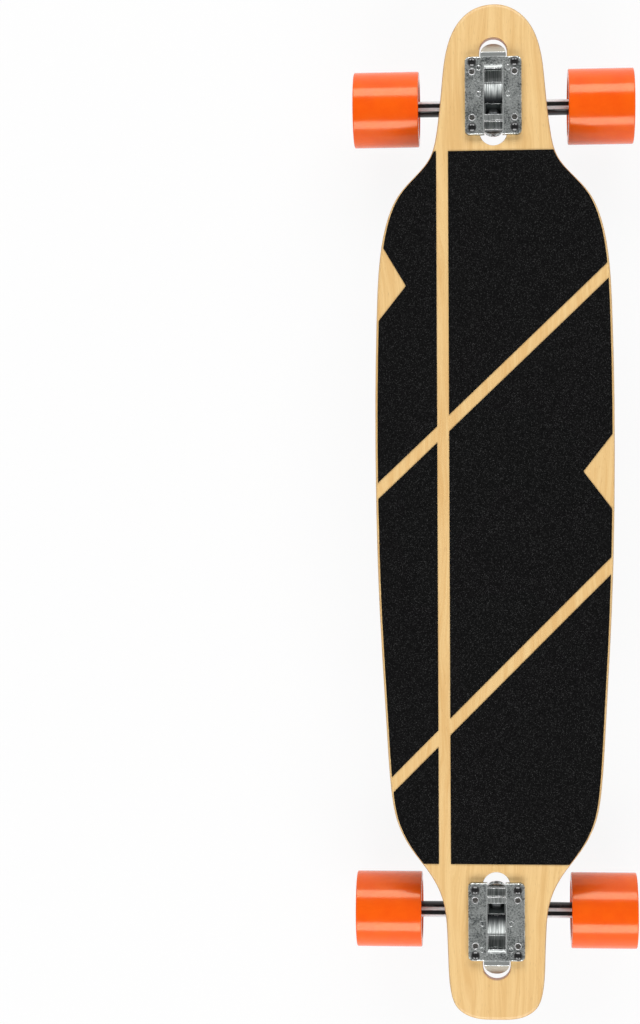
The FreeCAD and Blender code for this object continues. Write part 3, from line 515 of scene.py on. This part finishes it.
# %% Baseplate finish
def baseplate_finish(name, middle, turn):
    """Bare tumbled metal above the deck, on what faces up and in the channel; orange paint elsewhere."""
    finish, tree, inputs = new_finish(name)
    coords, normal = place(tree)
    x, y, z = split(tree, truck_place(tree, coords, middle, turn, deck_top))
    facing = split(tree, normal)[2]
    above = rise(tree, z, -0.0006, -0.0002)
    across = calc(tree, "ABSOLUTE", x)
    on_tongue = rise(tree, y, *tongue_start)
    in_width = between(tree, x, -channel_half, channel_half)
    channel = calc(tree, "MULTIPLY", in_width, between(tree, y, *channel_run))
    in_channel = calc(tree, "MULTIPLY", channel, between(tree, z, *channel_depth))
    bare = calc(tree, "MAXIMUM", calc(tree, "MAXIMUM", above, rise(tree, facing, 0.04, 0.2)), in_channel)
    skin = use_group(tree, tumbled_skin, Vector=coords, Size=620.0)
    brushed = noise(tree, mapped(tree, coords, (1.0, 0.03, 0.03)), 1300.0, 4.0, 0.7)
    # Painted shade: the brushed lines darken deeper down the channel, and to half in the pocket.
    depth = spread(tree, rise(tree, z, *shaded_depth), 0.06, 1.0)
    shade = blend_value(tree, between(tree, y, *pocket_run), depth, 0.5)
    lines = calc(tree, "MULTIPLY", rise(tree, brushed, 0.3, 0.7), shade)
    # Painted highlight: the ledge takes the brightest tone.
    lines = blend_value(tree, between(tree, y, *ledge_run, 0.0004), lines, 1.0)
    # Painted highlight: a near-white band along each side of the channel's rim.
    border = calc(tree, "MULTIPLY", between(tree, across, *rim_highlight_width), between(tree, y, *rim_highlight_run))
    channel_rim_highlight = calc(tree, "MULTIPLY", border, rise(tree, facing, 0.5, 0.8))
    tone = blend_value(tree, in_channel, skin["Tone"], lines)
    tone = calc(tree, "MAXIMUM", tone, calc(tree, "MULTIPLY", channel_rim_highlight, 0.9))
    tone = blend_value(tree, on_tongue, tone, 0.62)
    corners = use_group(tree, corner_wear_and_sheen, Vector=coords, Width=0.0009, Amount=1.0)
    metal = tint(tree, tone, (0.078, 0.088, 0.088, 1), (0.85, 0.885, 0.865, 1))
    # Painted shade: the ramp darkens to near black towards its end near the truck's middle.
    on_ramp = calc(tree, "MULTIPLY", in_channel, between(tree, y, *ramp_run))
    ramp_shade = calc(tree, "SUBTRACT", 1.0, rise(tree, y, *ramp_shade_run))
    metal = tint(tree, calc(tree, "MULTIPLY", on_ramp, ramp_shade), metal, (0.012, 0.013, 0.014, 1))
    # Painted highlight: the corners and a ring round each spare hole are lightened to near white.
    hole_x = calc(tree, "SUBTRACT", across, spare_hole_x)
    hole_y = calc(tree, "SUBTRACT", calc(tree, "ABSOLUTE", y), spare_hole_y)
    rim = calc(tree, "MULTIPLY", between(tree, apart(tree, hole_x, hole_y), *hole_rim), above)
    metal = tint(tree, calc(tree, "MAXIMUM", corners["Mask"], rim), metal, (0.96, 0.96, 0.96, 1))
    marks = use_group(tree, rubbed_marks, Vector=coords, Size=120.0)["Mask"]
    paint = tint(tree, marks, (0.87, 0.175, 0.010, 1), (0.76, 0.135, 0.008, 1))
    paint = tint(tree, calc(tree, "MULTIPLY", corners["Mask"], 0.25), paint, (0.45, 0.42, 0.4, 1))
    feed(tree, tint(tree, bare, paint, metal), inputs["Base Color"])
    feed(tree, bare, inputs["Metallic"])
    smoothed = calc(tree, "MULTIPLY", corners["Mask"], 0.1)
    metal_rough = calc(tree, "SUBTRACT", spread(tree, tone, 0.44, 0.27), smoothed)
    feed(tree, blend_value(tree, bare, spread(tree, marks, 0.25, 0.42), metal_rough), inputs["Roughness"])
    dented = calc(tree, "MULTIPLY", spread(tree, above, 0.15, 1.0), spread(tree, on_tongue, 1.0, 0.2))
    relief = calc(tree, "MULTIPLY", skin["Height"], blend_value(tree, in_channel, dented, 0.15))
    feed(tree, bump(tree, relief, 0.0003, 0.6, corners["Normal"]), inputs["Normal"])
    return finish


for end, (middle, turn) in truck_ends.items():
    finish = baseplate_finish("baseplate_" + end, middle, turn)
    nodes[end + "_baseplate"].material_slots[0].material = finish
print("baseplates dressed")

# %% [markdown]
# ## Hangers: black gloss with bright ridges
# A hanger is a black-painted casting. Beside the flute on the deck side of each arm runs a ridge that is
# ground bright, and the flute's outer rim is rubbed bright too; their near-white colour is also a painted
# highlight along the arms. Both are bands in the truck's own coordinates, measured from the axle line,
# kept to what faces up.

# %% Hanger finish
arm_start = (0.027, 0.031)
# Two bands of bare metal with a painted highlight, measured across the axle line.
rubbed_rim_and_highlight = (-0.0031, 0.0006)
ground_ridge_and_highlight = (0.0046, 0.0080)


def hanger_finish(name, turn):
    """Black gloss paint with two bright bands along the deck side of the arms, bare metal and painted
    highlight, and rubbed corners.
    """
    finish, tree, inputs = new_finish(name, Specular_IOR_Level=0.55)
    coords, normal = place(tree)
    axle_low, axle_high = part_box(name.replace("hanger", "axle"))
    axle_y = (axle_low.y + axle_high.y) / 2
    x, y, _ = split(tree, truck_place(tree, coords, axle_y, turn, axle_low.z))
    facing = split(tree, normal)[2]
    skin = use_group(tree, tumbled_skin, Vector=coords, Size=420.0)
    corners = use_group(tree, corner_wear_and_sheen, Vector=coords, Width=0.0007, Amount=0.7)
    marks = use_group(tree, rubbed_marks, Vector=coords, Size=90.0)["Mask"]
    outwards = rise(tree, calc(tree, "ABSOLUTE", x), *arm_start)
    on_arm = calc(tree, "MULTIPLY", outwards, rise(tree, facing, 0.25, 0.4))
    # The two bands are bare metal, and their near-white colour is also a painted highlight along the arms.
    bands = calc(tree, "ADD", between(tree, y, *rubbed_rim_and_highlight), between(tree, y, *ground_ridge_and_highlight))
    ridge = calc(tree, "MULTIPLY", bands, on_arm)
    bare = calc(tree, "MAXIMUM", ridge, calc(tree, "MULTIPLY", corners["Mask"], 0.5))
    black = tint(tree, skin["Tone"], (0.0065, 0.0065, 0.007, 1), (0.0115, 0.0115, 0.012, 1))
    bright_metal_and_highlight = tint(tree, skin["Tone"], (0.84, 0.84, 0.845, 1), (0.95, 0.95, 0.955, 1))
    feed(tree, tint(tree, bare, black, bright_metal_and_highlight), inputs["Base Color"])
    feed(tree, calc(tree, "MULTIPLY", bare, 0.45), inputs["Metallic"])
    rough = calc(tree, "MULTIPLY_ADD", marks, 0.5, calc(tree, "MULTIPLY", skin["Tone"], 0.5))
    feed(tree, blend_value(tree, ridge, spread(tree, rough, 0.15, 0.32), 0.52), inputs["Roughness"])
    feed(tree, bump(tree, skin["Height"], 0.00015, 0.3, corners["Normal"]), inputs["Normal"])
    return finish


for end, (_, turn) in truck_ends.items():
    nodes[end + "_hanger"].material_slots[0].material = hanger_finish(end + "_hanger", turn)
print("hangers dressed")

# %% [markdown]
# ## Steel: plated, blackened and ground
# The small metal pieces differ only in colour, roughness and how they were worked. One function makes
# them all: a metal with fine turning lines round the axle and a light cloud in its tone.

# %% Metal finishes
def metal_finish(name, dark, light, smooth, rough, worn=0.0, lines=0.0, shine=1.0):
    """A metal with a cloudy tone between two greys, turning lines along X and worn corners. A shine of 0 is
    for an oxide skin, which mirrors like lacquer and not like bare metal."""
    finish, tree, inputs = new_finish(name, Metallic=shine, Specular_IOR_Level=1.0 - 0.5 * shine)
    coords = place(tree)[0]
    cloud = noise(tree, coords, 300.0, 5.0, 0.6)
    turned = noise(tree, mapped(tree, coords, (1.0, 0.02, 0.02)), 5200.0, 2.0)
    tone = tint(tree, rise(tree, cloud, 0.3, 0.7), dark, light)
    if worn:
        wear = use_group(tree, corner_wear_and_sheen, Vector=coords, Width=0.0004, Amount=worn)["Mask"]
        tone = tint(tree, wear, tone, (0.5, 0.5, 0.5, 1))
    feed(tree, tone, inputs["Base Color"])
    dull = calc(tree, "MULTIPLY_ADD", turned, 0.4, calc(tree, "MULTIPLY", cloud, 0.6))
    feed(tree, spread(tree, dull, smooth, rough), inputs["Roughness"])
    if lines:
        feed(tree, bump(tree, turned, lines, 0.4), inputs["Normal"])
    return finish


turning_depth = 0.00003
plated = metal_finish(
    "plated_steel", (0.46, 0.47, 0.49, 1), (0.66, 0.66, 0.67, 1), 0.2, 0.42, lines=turning_depth
)
blackened = metal_finish(
    "black_steel", (0.003, 0.003, 0.0032, 1), (0.006, 0.006, 0.0063, 1), 0.07, 0.2, worn=0.12, shine=0.0
)
ground_steel = metal_finish("bearing_steel", (0.62, 0.63, 0.64, 1), (0.74, 0.74, 0.75, 1), 0.12, 0.26)
spacer_metal = metal_finish(
    "spacer_metal", (0.55, 0.55, 0.56, 1), (0.68, 0.68, 0.69, 1), 0.25, 0.4, lines=turning_depth
)
print("metals:", plated.name, blackened.name, ground_steel.name, spacer_metal.name)

# %% [markdown]
# ## Rubber, nylon and urethane in the trucks
# Bushings and pivot cups are cast urethane, shields are rubber and cages nylon. They are plain, but none
# is one flat colour: a soft cloud in the tone and in the roughness is enough for pieces this small.

# %% Moulded finishes
def moulded_finish(name, deep, pale, smooth, rough, size=220.0):
    """A moulded plastic or rubber: a cloudy colour, a cloudy gloss and a faint skin."""
    finish, tree, inputs = new_finish(name)
    coords = place(tree)[0]
    cloud = noise(tree, coords, size, 4.0, 0.6)
    skin = noise(tree, coords, size * 9, 3.0, 0.6)
    feed(tree, tint(tree, rise(tree, cloud, 0.3, 0.7), deep, pale), inputs["Base Color"])
    feed(tree, spread(tree, cloud, smooth, rough), inputs["Roughness"])
    feed(tree, bump(tree, skin, 0.00004, 0.5), inputs["Normal"])
    return finish


small = 500.0
bushing_urethane = moulded_finish(
    "bushing_urethane", (0.010, 0.010, 0.011, 1), (0.018, 0.018, 0.019, 1), 0.3, 0.48
)
cup_urethane = moulded_finish(
    "cup_urethane", (0.014, 0.014, 0.015, 1), (0.022, 0.022, 0.023, 1), 0.42, 0.6
)
shield_rubber = moulded_finish(
    "shield_rubber", (0.012, 0.012, 0.013, 1), (0.022, 0.022, 0.024, 1), 0.4, 0.55, small
)
cage_nylon = moulded_finish("cage_nylon", (0.62, 0.60, 0.52, 1), (0.72, 0.70, 0.62, 1), 0.4, 0.5, small)
lock_nylon = moulded_finish("lock_nylon", (0.66, 0.66, 0.63, 1), (0.78, 0.78, 0.75, 1), 0.38, 0.5, small)
print("moulded finishes: 5")

# %% Dress the small pieces by the record's slots
slot_finish = {
    "steel": plated,
    "black_steel": blackened,
    "bearing_steel": ground_steel,
    "spacer_metal": spacer_metal,
    "bushing_urethane": bushing_urethane,
    "cup_urethane": cup_urethane,
    "bearing_shield": shield_rubber,
    "cage_nylon": cage_nylon,
}
dressed = 0
for piece in nodes.values():
    slot_name = piece.material_slots[0].material.name.split(".")[0]
    if slot_name in slot_finish:
        piece.material_slots[0].material = slot_finish[slot_name]
        dressed += 1
print("small pieces dressed:", dressed)

# %% [markdown]
# ## Wheels
# A wheel is turned: one profile swept round the axle. The CAD wheel has the same dishes and hub with few
# points and rounder edges, so a finer one takes its place. The profile is a list of stations along X with a
# radius each; the whole surface is one outer product of that list with the cosine and sine of the turning
# angle. The wheels, the threads and the floor are all such grids of points, so one function gives them faces.

# %% Faces over a grid
def skin_grid(name, grid, closed=False, flip=False, cap=False):
    """An object from a grid of points (rows, steps, 3) whose rows are rings. closed joins the last ring to
    the first, flip turns the faces round, and cap fills the first ring."""
    rows, steps = grid.shape[:2]
    row = np.arange(rows if closed else rows - 1)[:, None]
    step = np.arange(steps)[None, :]
    here, after, beside = row * steps, (row + 1) % rows * steps, (step + 1) % steps
    quads = np.stack([here + step, here + beside, after + beside, after + step], axis=-1)
    faces = quads.reshape(-1, 4)[:, [0, 3, 2, 1] if flip else [0, 1, 2, 3]].tolist()
    if cap:
        faces.append(list(range(steps)))
    mesh = bpy.data.meshes.new(name)
    mesh.from_pydata(grid.reshape(-1, 3).tolist(), [], faces)
    mesh.polygons.foreach_set("use_smooth", np.ones(len(mesh.polygons), dtype=bool))
    mesh.update()
    made = bpy.data.objects.new(name, mesh)
    bpy.context.scene.collection.objects.link(made)
    return made


print("grid faces ready")


# %% A lathe
def lathe(name, along, radius, centre, steps=144):
    """A closed profile (along, radius) swept round the X axis through centre:
    point = (along, centre_y + radius * cos(turn), centre_z + radius * sin(turn))."""
    turn = np.linspace(0.0, 2 * np.pi, steps, endpoint=False)
    grid = np.empty((len(along), steps, 3))
    grid[:, :, 0] = np.asarray(along)[:, None]
    grid[:, :, 1] = centre[1] + np.outer(radius, np.cos(turn))
    grid[:, :, 2] = centre[2] + np.outer(radius, np.sin(turn))
    return skin_grid(name, grid, closed=True)


def arc(centre_x, centre_r, radius, start, end, count):
    """Points of a circle's arc in the (along, radius) plane, angles in degrees from +X."""
    angle = np.radians(np.linspace(start, end, count))
    return centre_x + radius * np.cos(angle), centre_r + radius * np.sin(angle)


print("lathe ready")

# %% [markdown]
# The urethane is orange with a soft, slightly warm gloss. It is a little cloudy inside, and the tread is
# ground in fine rings.

# %% Wheel urethane
urethane, tree, inputs = new_finish(
    "wheel_urethane", Specular_IOR_Level=0.6, Specular_Tint=(1.0, 0.95, 0.66, 1)
)
deep_orange = (0.96, 0.097, 0.0004, 1)
pale_orange = (1.0, 0.122, 0.0008, 1)
coords = place(tree)[0]
cloud = noise(tree, coords, 55.0, 4.0, 0.6)
rings = noise(tree, mapped(tree, coords, (1.0, 0.004, 0.004)), 2600.0, 2.0)
marks = use_group(tree, rubbed_marks, Vector=coords, Size=75.0)["Mask"]
feed(tree, tint(tree, rise(tree, cloud, 0.25, 0.75), deep_orange, pale_orange), inputs["Base Color"])
dull = calc(tree, "MULTIPLY_ADD", rings, 0.45, calc(tree, "MULTIPLY", marks, 0.55))
feed(tree, spread(tree, dull, 0.13, 0.26), inputs["Roughness"])
feed(tree, bump(tree, rings, 0.00004, 0.35), inputs["Normal"])
print("urethane ready")

# %% The wheel's profile
def bowl(rim, foot, sag, count):
    """A shallow arc from rim to foot: the straight line between them plus sag * 4 t (1 - t) into the
    urethane."""
    t = np.linspace(0.0, 1.0, count)
    run = np.subtract(foot, rim)
    side = np.array([-run[1], run[0]]) / np.hypot(*run)
    side = side if side[1] > 0 else -side
    points = np.outer(1 - t, rim) + np.outer(t, foot) + np.outer(sag * 4 * t * (1 - t), side)
    return points[:, 0], points[:, 1]


def wheel_profile(width, big):
    """Stations from the inner face round the tread, down the outer dish, through the hub and back."""
    edge, lip, soft = 0.0014, big - 0.0082, 0.0009
    seat, core, hub, sag = 0.01102, 0.0090, 0.0162, 0.0021
    parts = [
        arc(edge, big - edge, edge, 180, 90, 12),
        arc(width - edge, big - edge, edge, 90, 0, 12),
        arc(width - soft, lip + soft, soft, 0, -60, 5),
        bowl((width - 0.0018, lip - 0.0006), (0.0452, hub), sag, 22),
        ([0.0440, 0.0436, 0.0412, 0.0410, 0.0410], [0.0153, 0.0147, 0.0122, 0.0119, seat]),
        ([0.0340, 0.0340, 0.0240, 0.0240, 0.0170], [seat, core, core, seat, seat]),
        ([0.0170, 0.0168, 0.0144, 0.0140], [0.0119, 0.0122, 0.0147, 0.0153]),
        bowl((0.0128, hub), (0.0018, lip - 0.0006), sag, 16),
        arc(soft, lip + soft, soft, 240, 180, 5),
    ]
    return np.concatenate([p[0] for p in parts]), np.concatenate([p[1] for p in parts])


print("profile points:", len(wheel_profile(0.065, 0.0375)[0]))

# %% Turn the four wheels
def dress(piece, finish, body):
    """Give a new piece its finish and the body it rides on."""
    piece.data.materials.append(finish)
    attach(piece, body)
    return piece


for end in truck_ends:
    for side, sign in sides:
        node = end + "_" + side + "_wheel"
        low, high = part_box(node)
        middle = (low + high) / 2
        along, radius = wheel_profile(high.x - low.x, (high.z - low.z) / 2)
        along = sign * (min(abs(low.x), abs(high.x)) + along)
        turned = lathe(node + "_tyre", along[:: int(sign)], radius[:: int(sign)], middle)
        turned.data.set_sharp_from_angle(angle=math.radians(32))
        dress(turned, urethane, end + "_" + side + "_wheel_set")
        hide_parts(node)
        print(turned.name, len(turned.data.polygons), "faces")

# %% [markdown]
# ## Lock nuts and threads
# An axle nut holds a nylon ring in its collar, and the axle and the kingpin end in threads. They are
# too small for the CAD model, but close up they tell a bolt from a bare rod. The ring is turned on the same
# lathe. A thread is a tube whose radius rises and falls with the turn minus the way along, once per pitch.

# %% Nylon rings
ring_inset, ring_radius, ring_thickness = 0.00025, 0.00462, 0.00084
for end in truck_ends:
    low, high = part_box(end + "_axle_nuts")
    middle = (low + high) / 2
    for side, sign in sides:
        along, radius = arc(high.x - ring_inset, ring_radius, ring_thickness / 2, 0, 360, 17)
        order = slice(None, None, -int(sign))
        along, radius = sign * along[:-1][order], radius[:-1][order]
        ring = lathe(end + "_" + side + "_lock_ring", along, radius, middle, 64)
        dress(ring, lock_nylon, end + "_truck_hanger")
print("lock rings: 4")


# %% Threads
def thread(name, start, direction, length, core, depth, pitch=0.00106, steps=72, rows=40):
    """A tube of radius core + depth * wave(way / pitch - turn), whose wave is a ridge |2 f - 1| of the
    fraction f, carried along a straight line; both ends sink below the rod that it lies on."""
    axis = np.asarray(direction, dtype=float)
    axis = axis / np.linalg.norm(axis)
    side = np.cross(axis, (1.0, 0.0, 0.0) if abs(axis[0]) < 0.9 else (0.0, 1.0, 0.0))
    side = side / np.linalg.norm(side)
    other = np.cross(axis, side)
    way = np.linspace(0.0, length, rows)
    turn = np.linspace(0.0, 2 * np.pi, steps, endpoint=False)
    share = np.mod(way[:, None] / pitch - turn[None, :] / (2 * np.pi), 1.0)
    fade = np.clip(np.minimum(way, length - way) / (0.35 * pitch), 0.0, 1.0)[:, None]
    radius = core + depth * (1.3 * np.abs(2 * share - 1) * fade - 0.3)
    ring = np.cos(turn)[:, None] * side + np.sin(turn)[:, None] * other
    points = np.asarray(start) + way[:, None, None] * axis + radius[:, :, None] * ring[None, :, :]
    return skin_grid(name, points)


thread_depth = 0.00012
axle_radius, axle_chamfer = 0.004, 0.0007
for end in truck_ends:
    low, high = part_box(end + "_axle")
    nut_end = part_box(end + "_axle_nuts")[1].x
    length = high.x - nut_end - axle_chamfer
    for side, sign in sides:
        start = (sign * nut_end, (low.y + high.y) / 2, (low.z + high.z) / 2)
        name = end + "_" + side + "_axle_thread"
        cut = thread(name, start, (sign, 0, 0), length, axle_radius, thread_depth)
        dress(cut, plated, end + "_truck_hanger")
print("axle threads: 4")

# %% Kingpin threads
tilt = math.radians(40.0)
pin_radius, past_nut, pin_length = 0.00475, 0.0259, 0.0019
for end, (_, turn) in truck_ends.items():
    joint = [j for j in frame["joints"] if j["name"] == end + "_steer"][0]
    centre = np.array(joint["pos_m"])
    down = np.array([0.0, turn * math.sin(tilt), -math.cos(tilt)])
    start = centre + down * past_nut
    cut = thread(end + "_kingpin_thread", start, down, pin_length, pin_radius, thread_depth)
    dress(cut, blackened, "board")
print("kingpin threads: 2")

# %% [markdown]
# ## Floor
# The board stands on a plain pale floor that curves up into a wall far away, so that low views have no
# horizon. The sheet is a profile turned about the Z axis. A floor lit by the lamps alone turns grey, so
# the camera, mirrors and glass see it mixed with plain white, while it still takes the board's shadow.
# Seen from behind, which only happens from underneath, it lets the view through. When a truck steers under
# a level deck its outer wheel dips 31 mm, so the floor lies that much lower and never cuts a wheel.

# %% Pale floor with a cove
def turned_sheet(name, radius, level, steps=72):
    """A profile (radius, level) swept round Z: point = (radius cos turn, radius sin turn, level)."""
    turn = np.linspace(0.0, 2 * np.pi, steps, endpoint=False)
    grid = np.empty((len(radius), steps, 3))
    grid[:, :, 0] = np.outer(radius, np.cos(turn))
    grid[:, :, 1] = np.outer(radius, np.sin(turn))
    grid[:, :, 2] = np.asarray(level)[:, None]
    return skin_grid(name, grid, flip=True, cap=True)


wheel_dip = 0.0315
floor_radius, cove_radius, wall_top = 9.0, 2.0, 5.0
white_share = 0.9
cove_out, cove_up = arc(floor_radius, cove_radius - wheel_dip, cove_radius, -90, 0, 14)
floor_out = np.concatenate([[2.0, 6.0], cove_out, [floor_radius + cove_radius]])
floor_up = np.concatenate([[-wheel_dip, -wheel_dip], cove_up, [wall_top]])
floor = turned_sheet("studio_floor", floor_out, floor_up)
floor_grey = (0.9, 0.9, 0.9, 1)
pale, tree, inputs = new_finish("pale_floor", Roughness=0.9, Specular_IOR_Level=0.1, Base_Color=floor_grey)
rays = add_node(tree, "ShaderNodeLightPath").outputs
mirrored = calc(tree, "MAXIMUM", rays["Is Glossy Ray"], rays["Is Transmission Ray"])
seen = calc(tree, "MAXIMUM", rays["Is Camera Ray"], mirrored)
white = add_node(tree, "ShaderNodeEmission")
white.inputs["Strength"].default_value = 1.0
lit = add_node(tree, "ShaderNodeMixShader")
feed(tree, calc(tree, "MULTIPLY", seen, white_share), lit.inputs[0])
feed(tree, tree.nodes["Principled BSDF"].outputs[0], lit.inputs[1])
feed(tree, white.outputs[0], lit.inputs[2])
through = add_node(tree, "ShaderNodeMixShader")
feed(tree, add_node(tree, "ShaderNodeNewGeometry").outputs["Backfacing"], through.inputs[0])
feed(tree, lit.outputs[0], through.inputs[1])
feed(tree, add_node(tree, "ShaderNodeBsdfTransparent").outputs[0], through.inputs[2])
feed(tree, through.outputs[0], tree.nodes["Material Output"].inputs["Surface"])
floor.data.materials.append(pale)
print("floor faces:", len(floor.data.polygons))

# %% [markdown]
# ## Light
# The bright bands along the wheels say how the board was lit: broad softboxes parallel to the axles,
# beyond the nose and beyond the tail, and an even room. Area lamps stand for the softboxes and the world's
# background for the room, at a level where a colour comes out about as it was mixed.

# %% Softboxes and room
def softbox(name, spot, target, width, depth, radiance):
    """An area lamp at spot that faces target; its power is radiance * pi * width * depth."""
    lamp = bpy.data.lights.new(name, "AREA")
    lamp.shape = "RECTANGLE"
    lamp.size, lamp.size_y = width, depth
    lamp.energy = radiance * math.pi * width * depth
    made = bpy.data.objects.new(name, lamp)
    bpy.context.scene.collection.objects.link(made)
    made.location = spot
    made.rotation_euler = (Vector(spot) - Vector(target)).to_track_quat("Z", "Y").to_euler()
    return made


box_away, box_height, box_width = 3.1, 2.5, 4.6
nose_depth, tail_depth = 1.75, 1.8
box_radiance, room_strength = 4.95, 0.20
aim = (0, 0, 0.05)
softbox("nose_softbox", (0.0, box_away, box_height), aim, box_width, nose_depth, box_radiance)
softbox("tail_softbox", (0.0, -box_away, box_height), aim, box_width, tail_depth, box_radiance)
room = bpy.data.worlds.new("room")
room.use_nodes = True
backdrop = room.node_tree.nodes["Background"]
backdrop.inputs["Color"].default_value = (1.0, 1.0, 1.0, 1)
backdrop.inputs["Strength"].default_value = room_strength
bpy.context.scene.world = room
print("lamps:", len(bpy.data.lights))

# %% [markdown]
# ## Camera
# The photograph looks straight down on the board, from about 2.2 m above the deck, with the board to the
# right of the picture's middle. The camera hangs over the board and is turned a few degrees, which puts the
# board there without any lens shift.

# %% Camera over the board
scene = bpy.context.scene
scene.view_settings.view_transform = "Standard"
lens = bpy.data.cameras.new("overhead_camera")
lens.lens = 79.2
lens.sensor_width = 36.0
lens.clip_end = 50.0
camera = bpy.data.objects.new("overhead_camera", lens)
scene.collection.objects.link(camera)
above_deck, sideways, roll = 2.2, math.radians(4.44), math.radians(-0.24)
camera.location = (0.0, 0.0, deck_top + above_deck)
camera.rotation_euler = (0.0, sideways, roll)
scene.camera = camera
print("camera height", round(camera.location.z, 3))
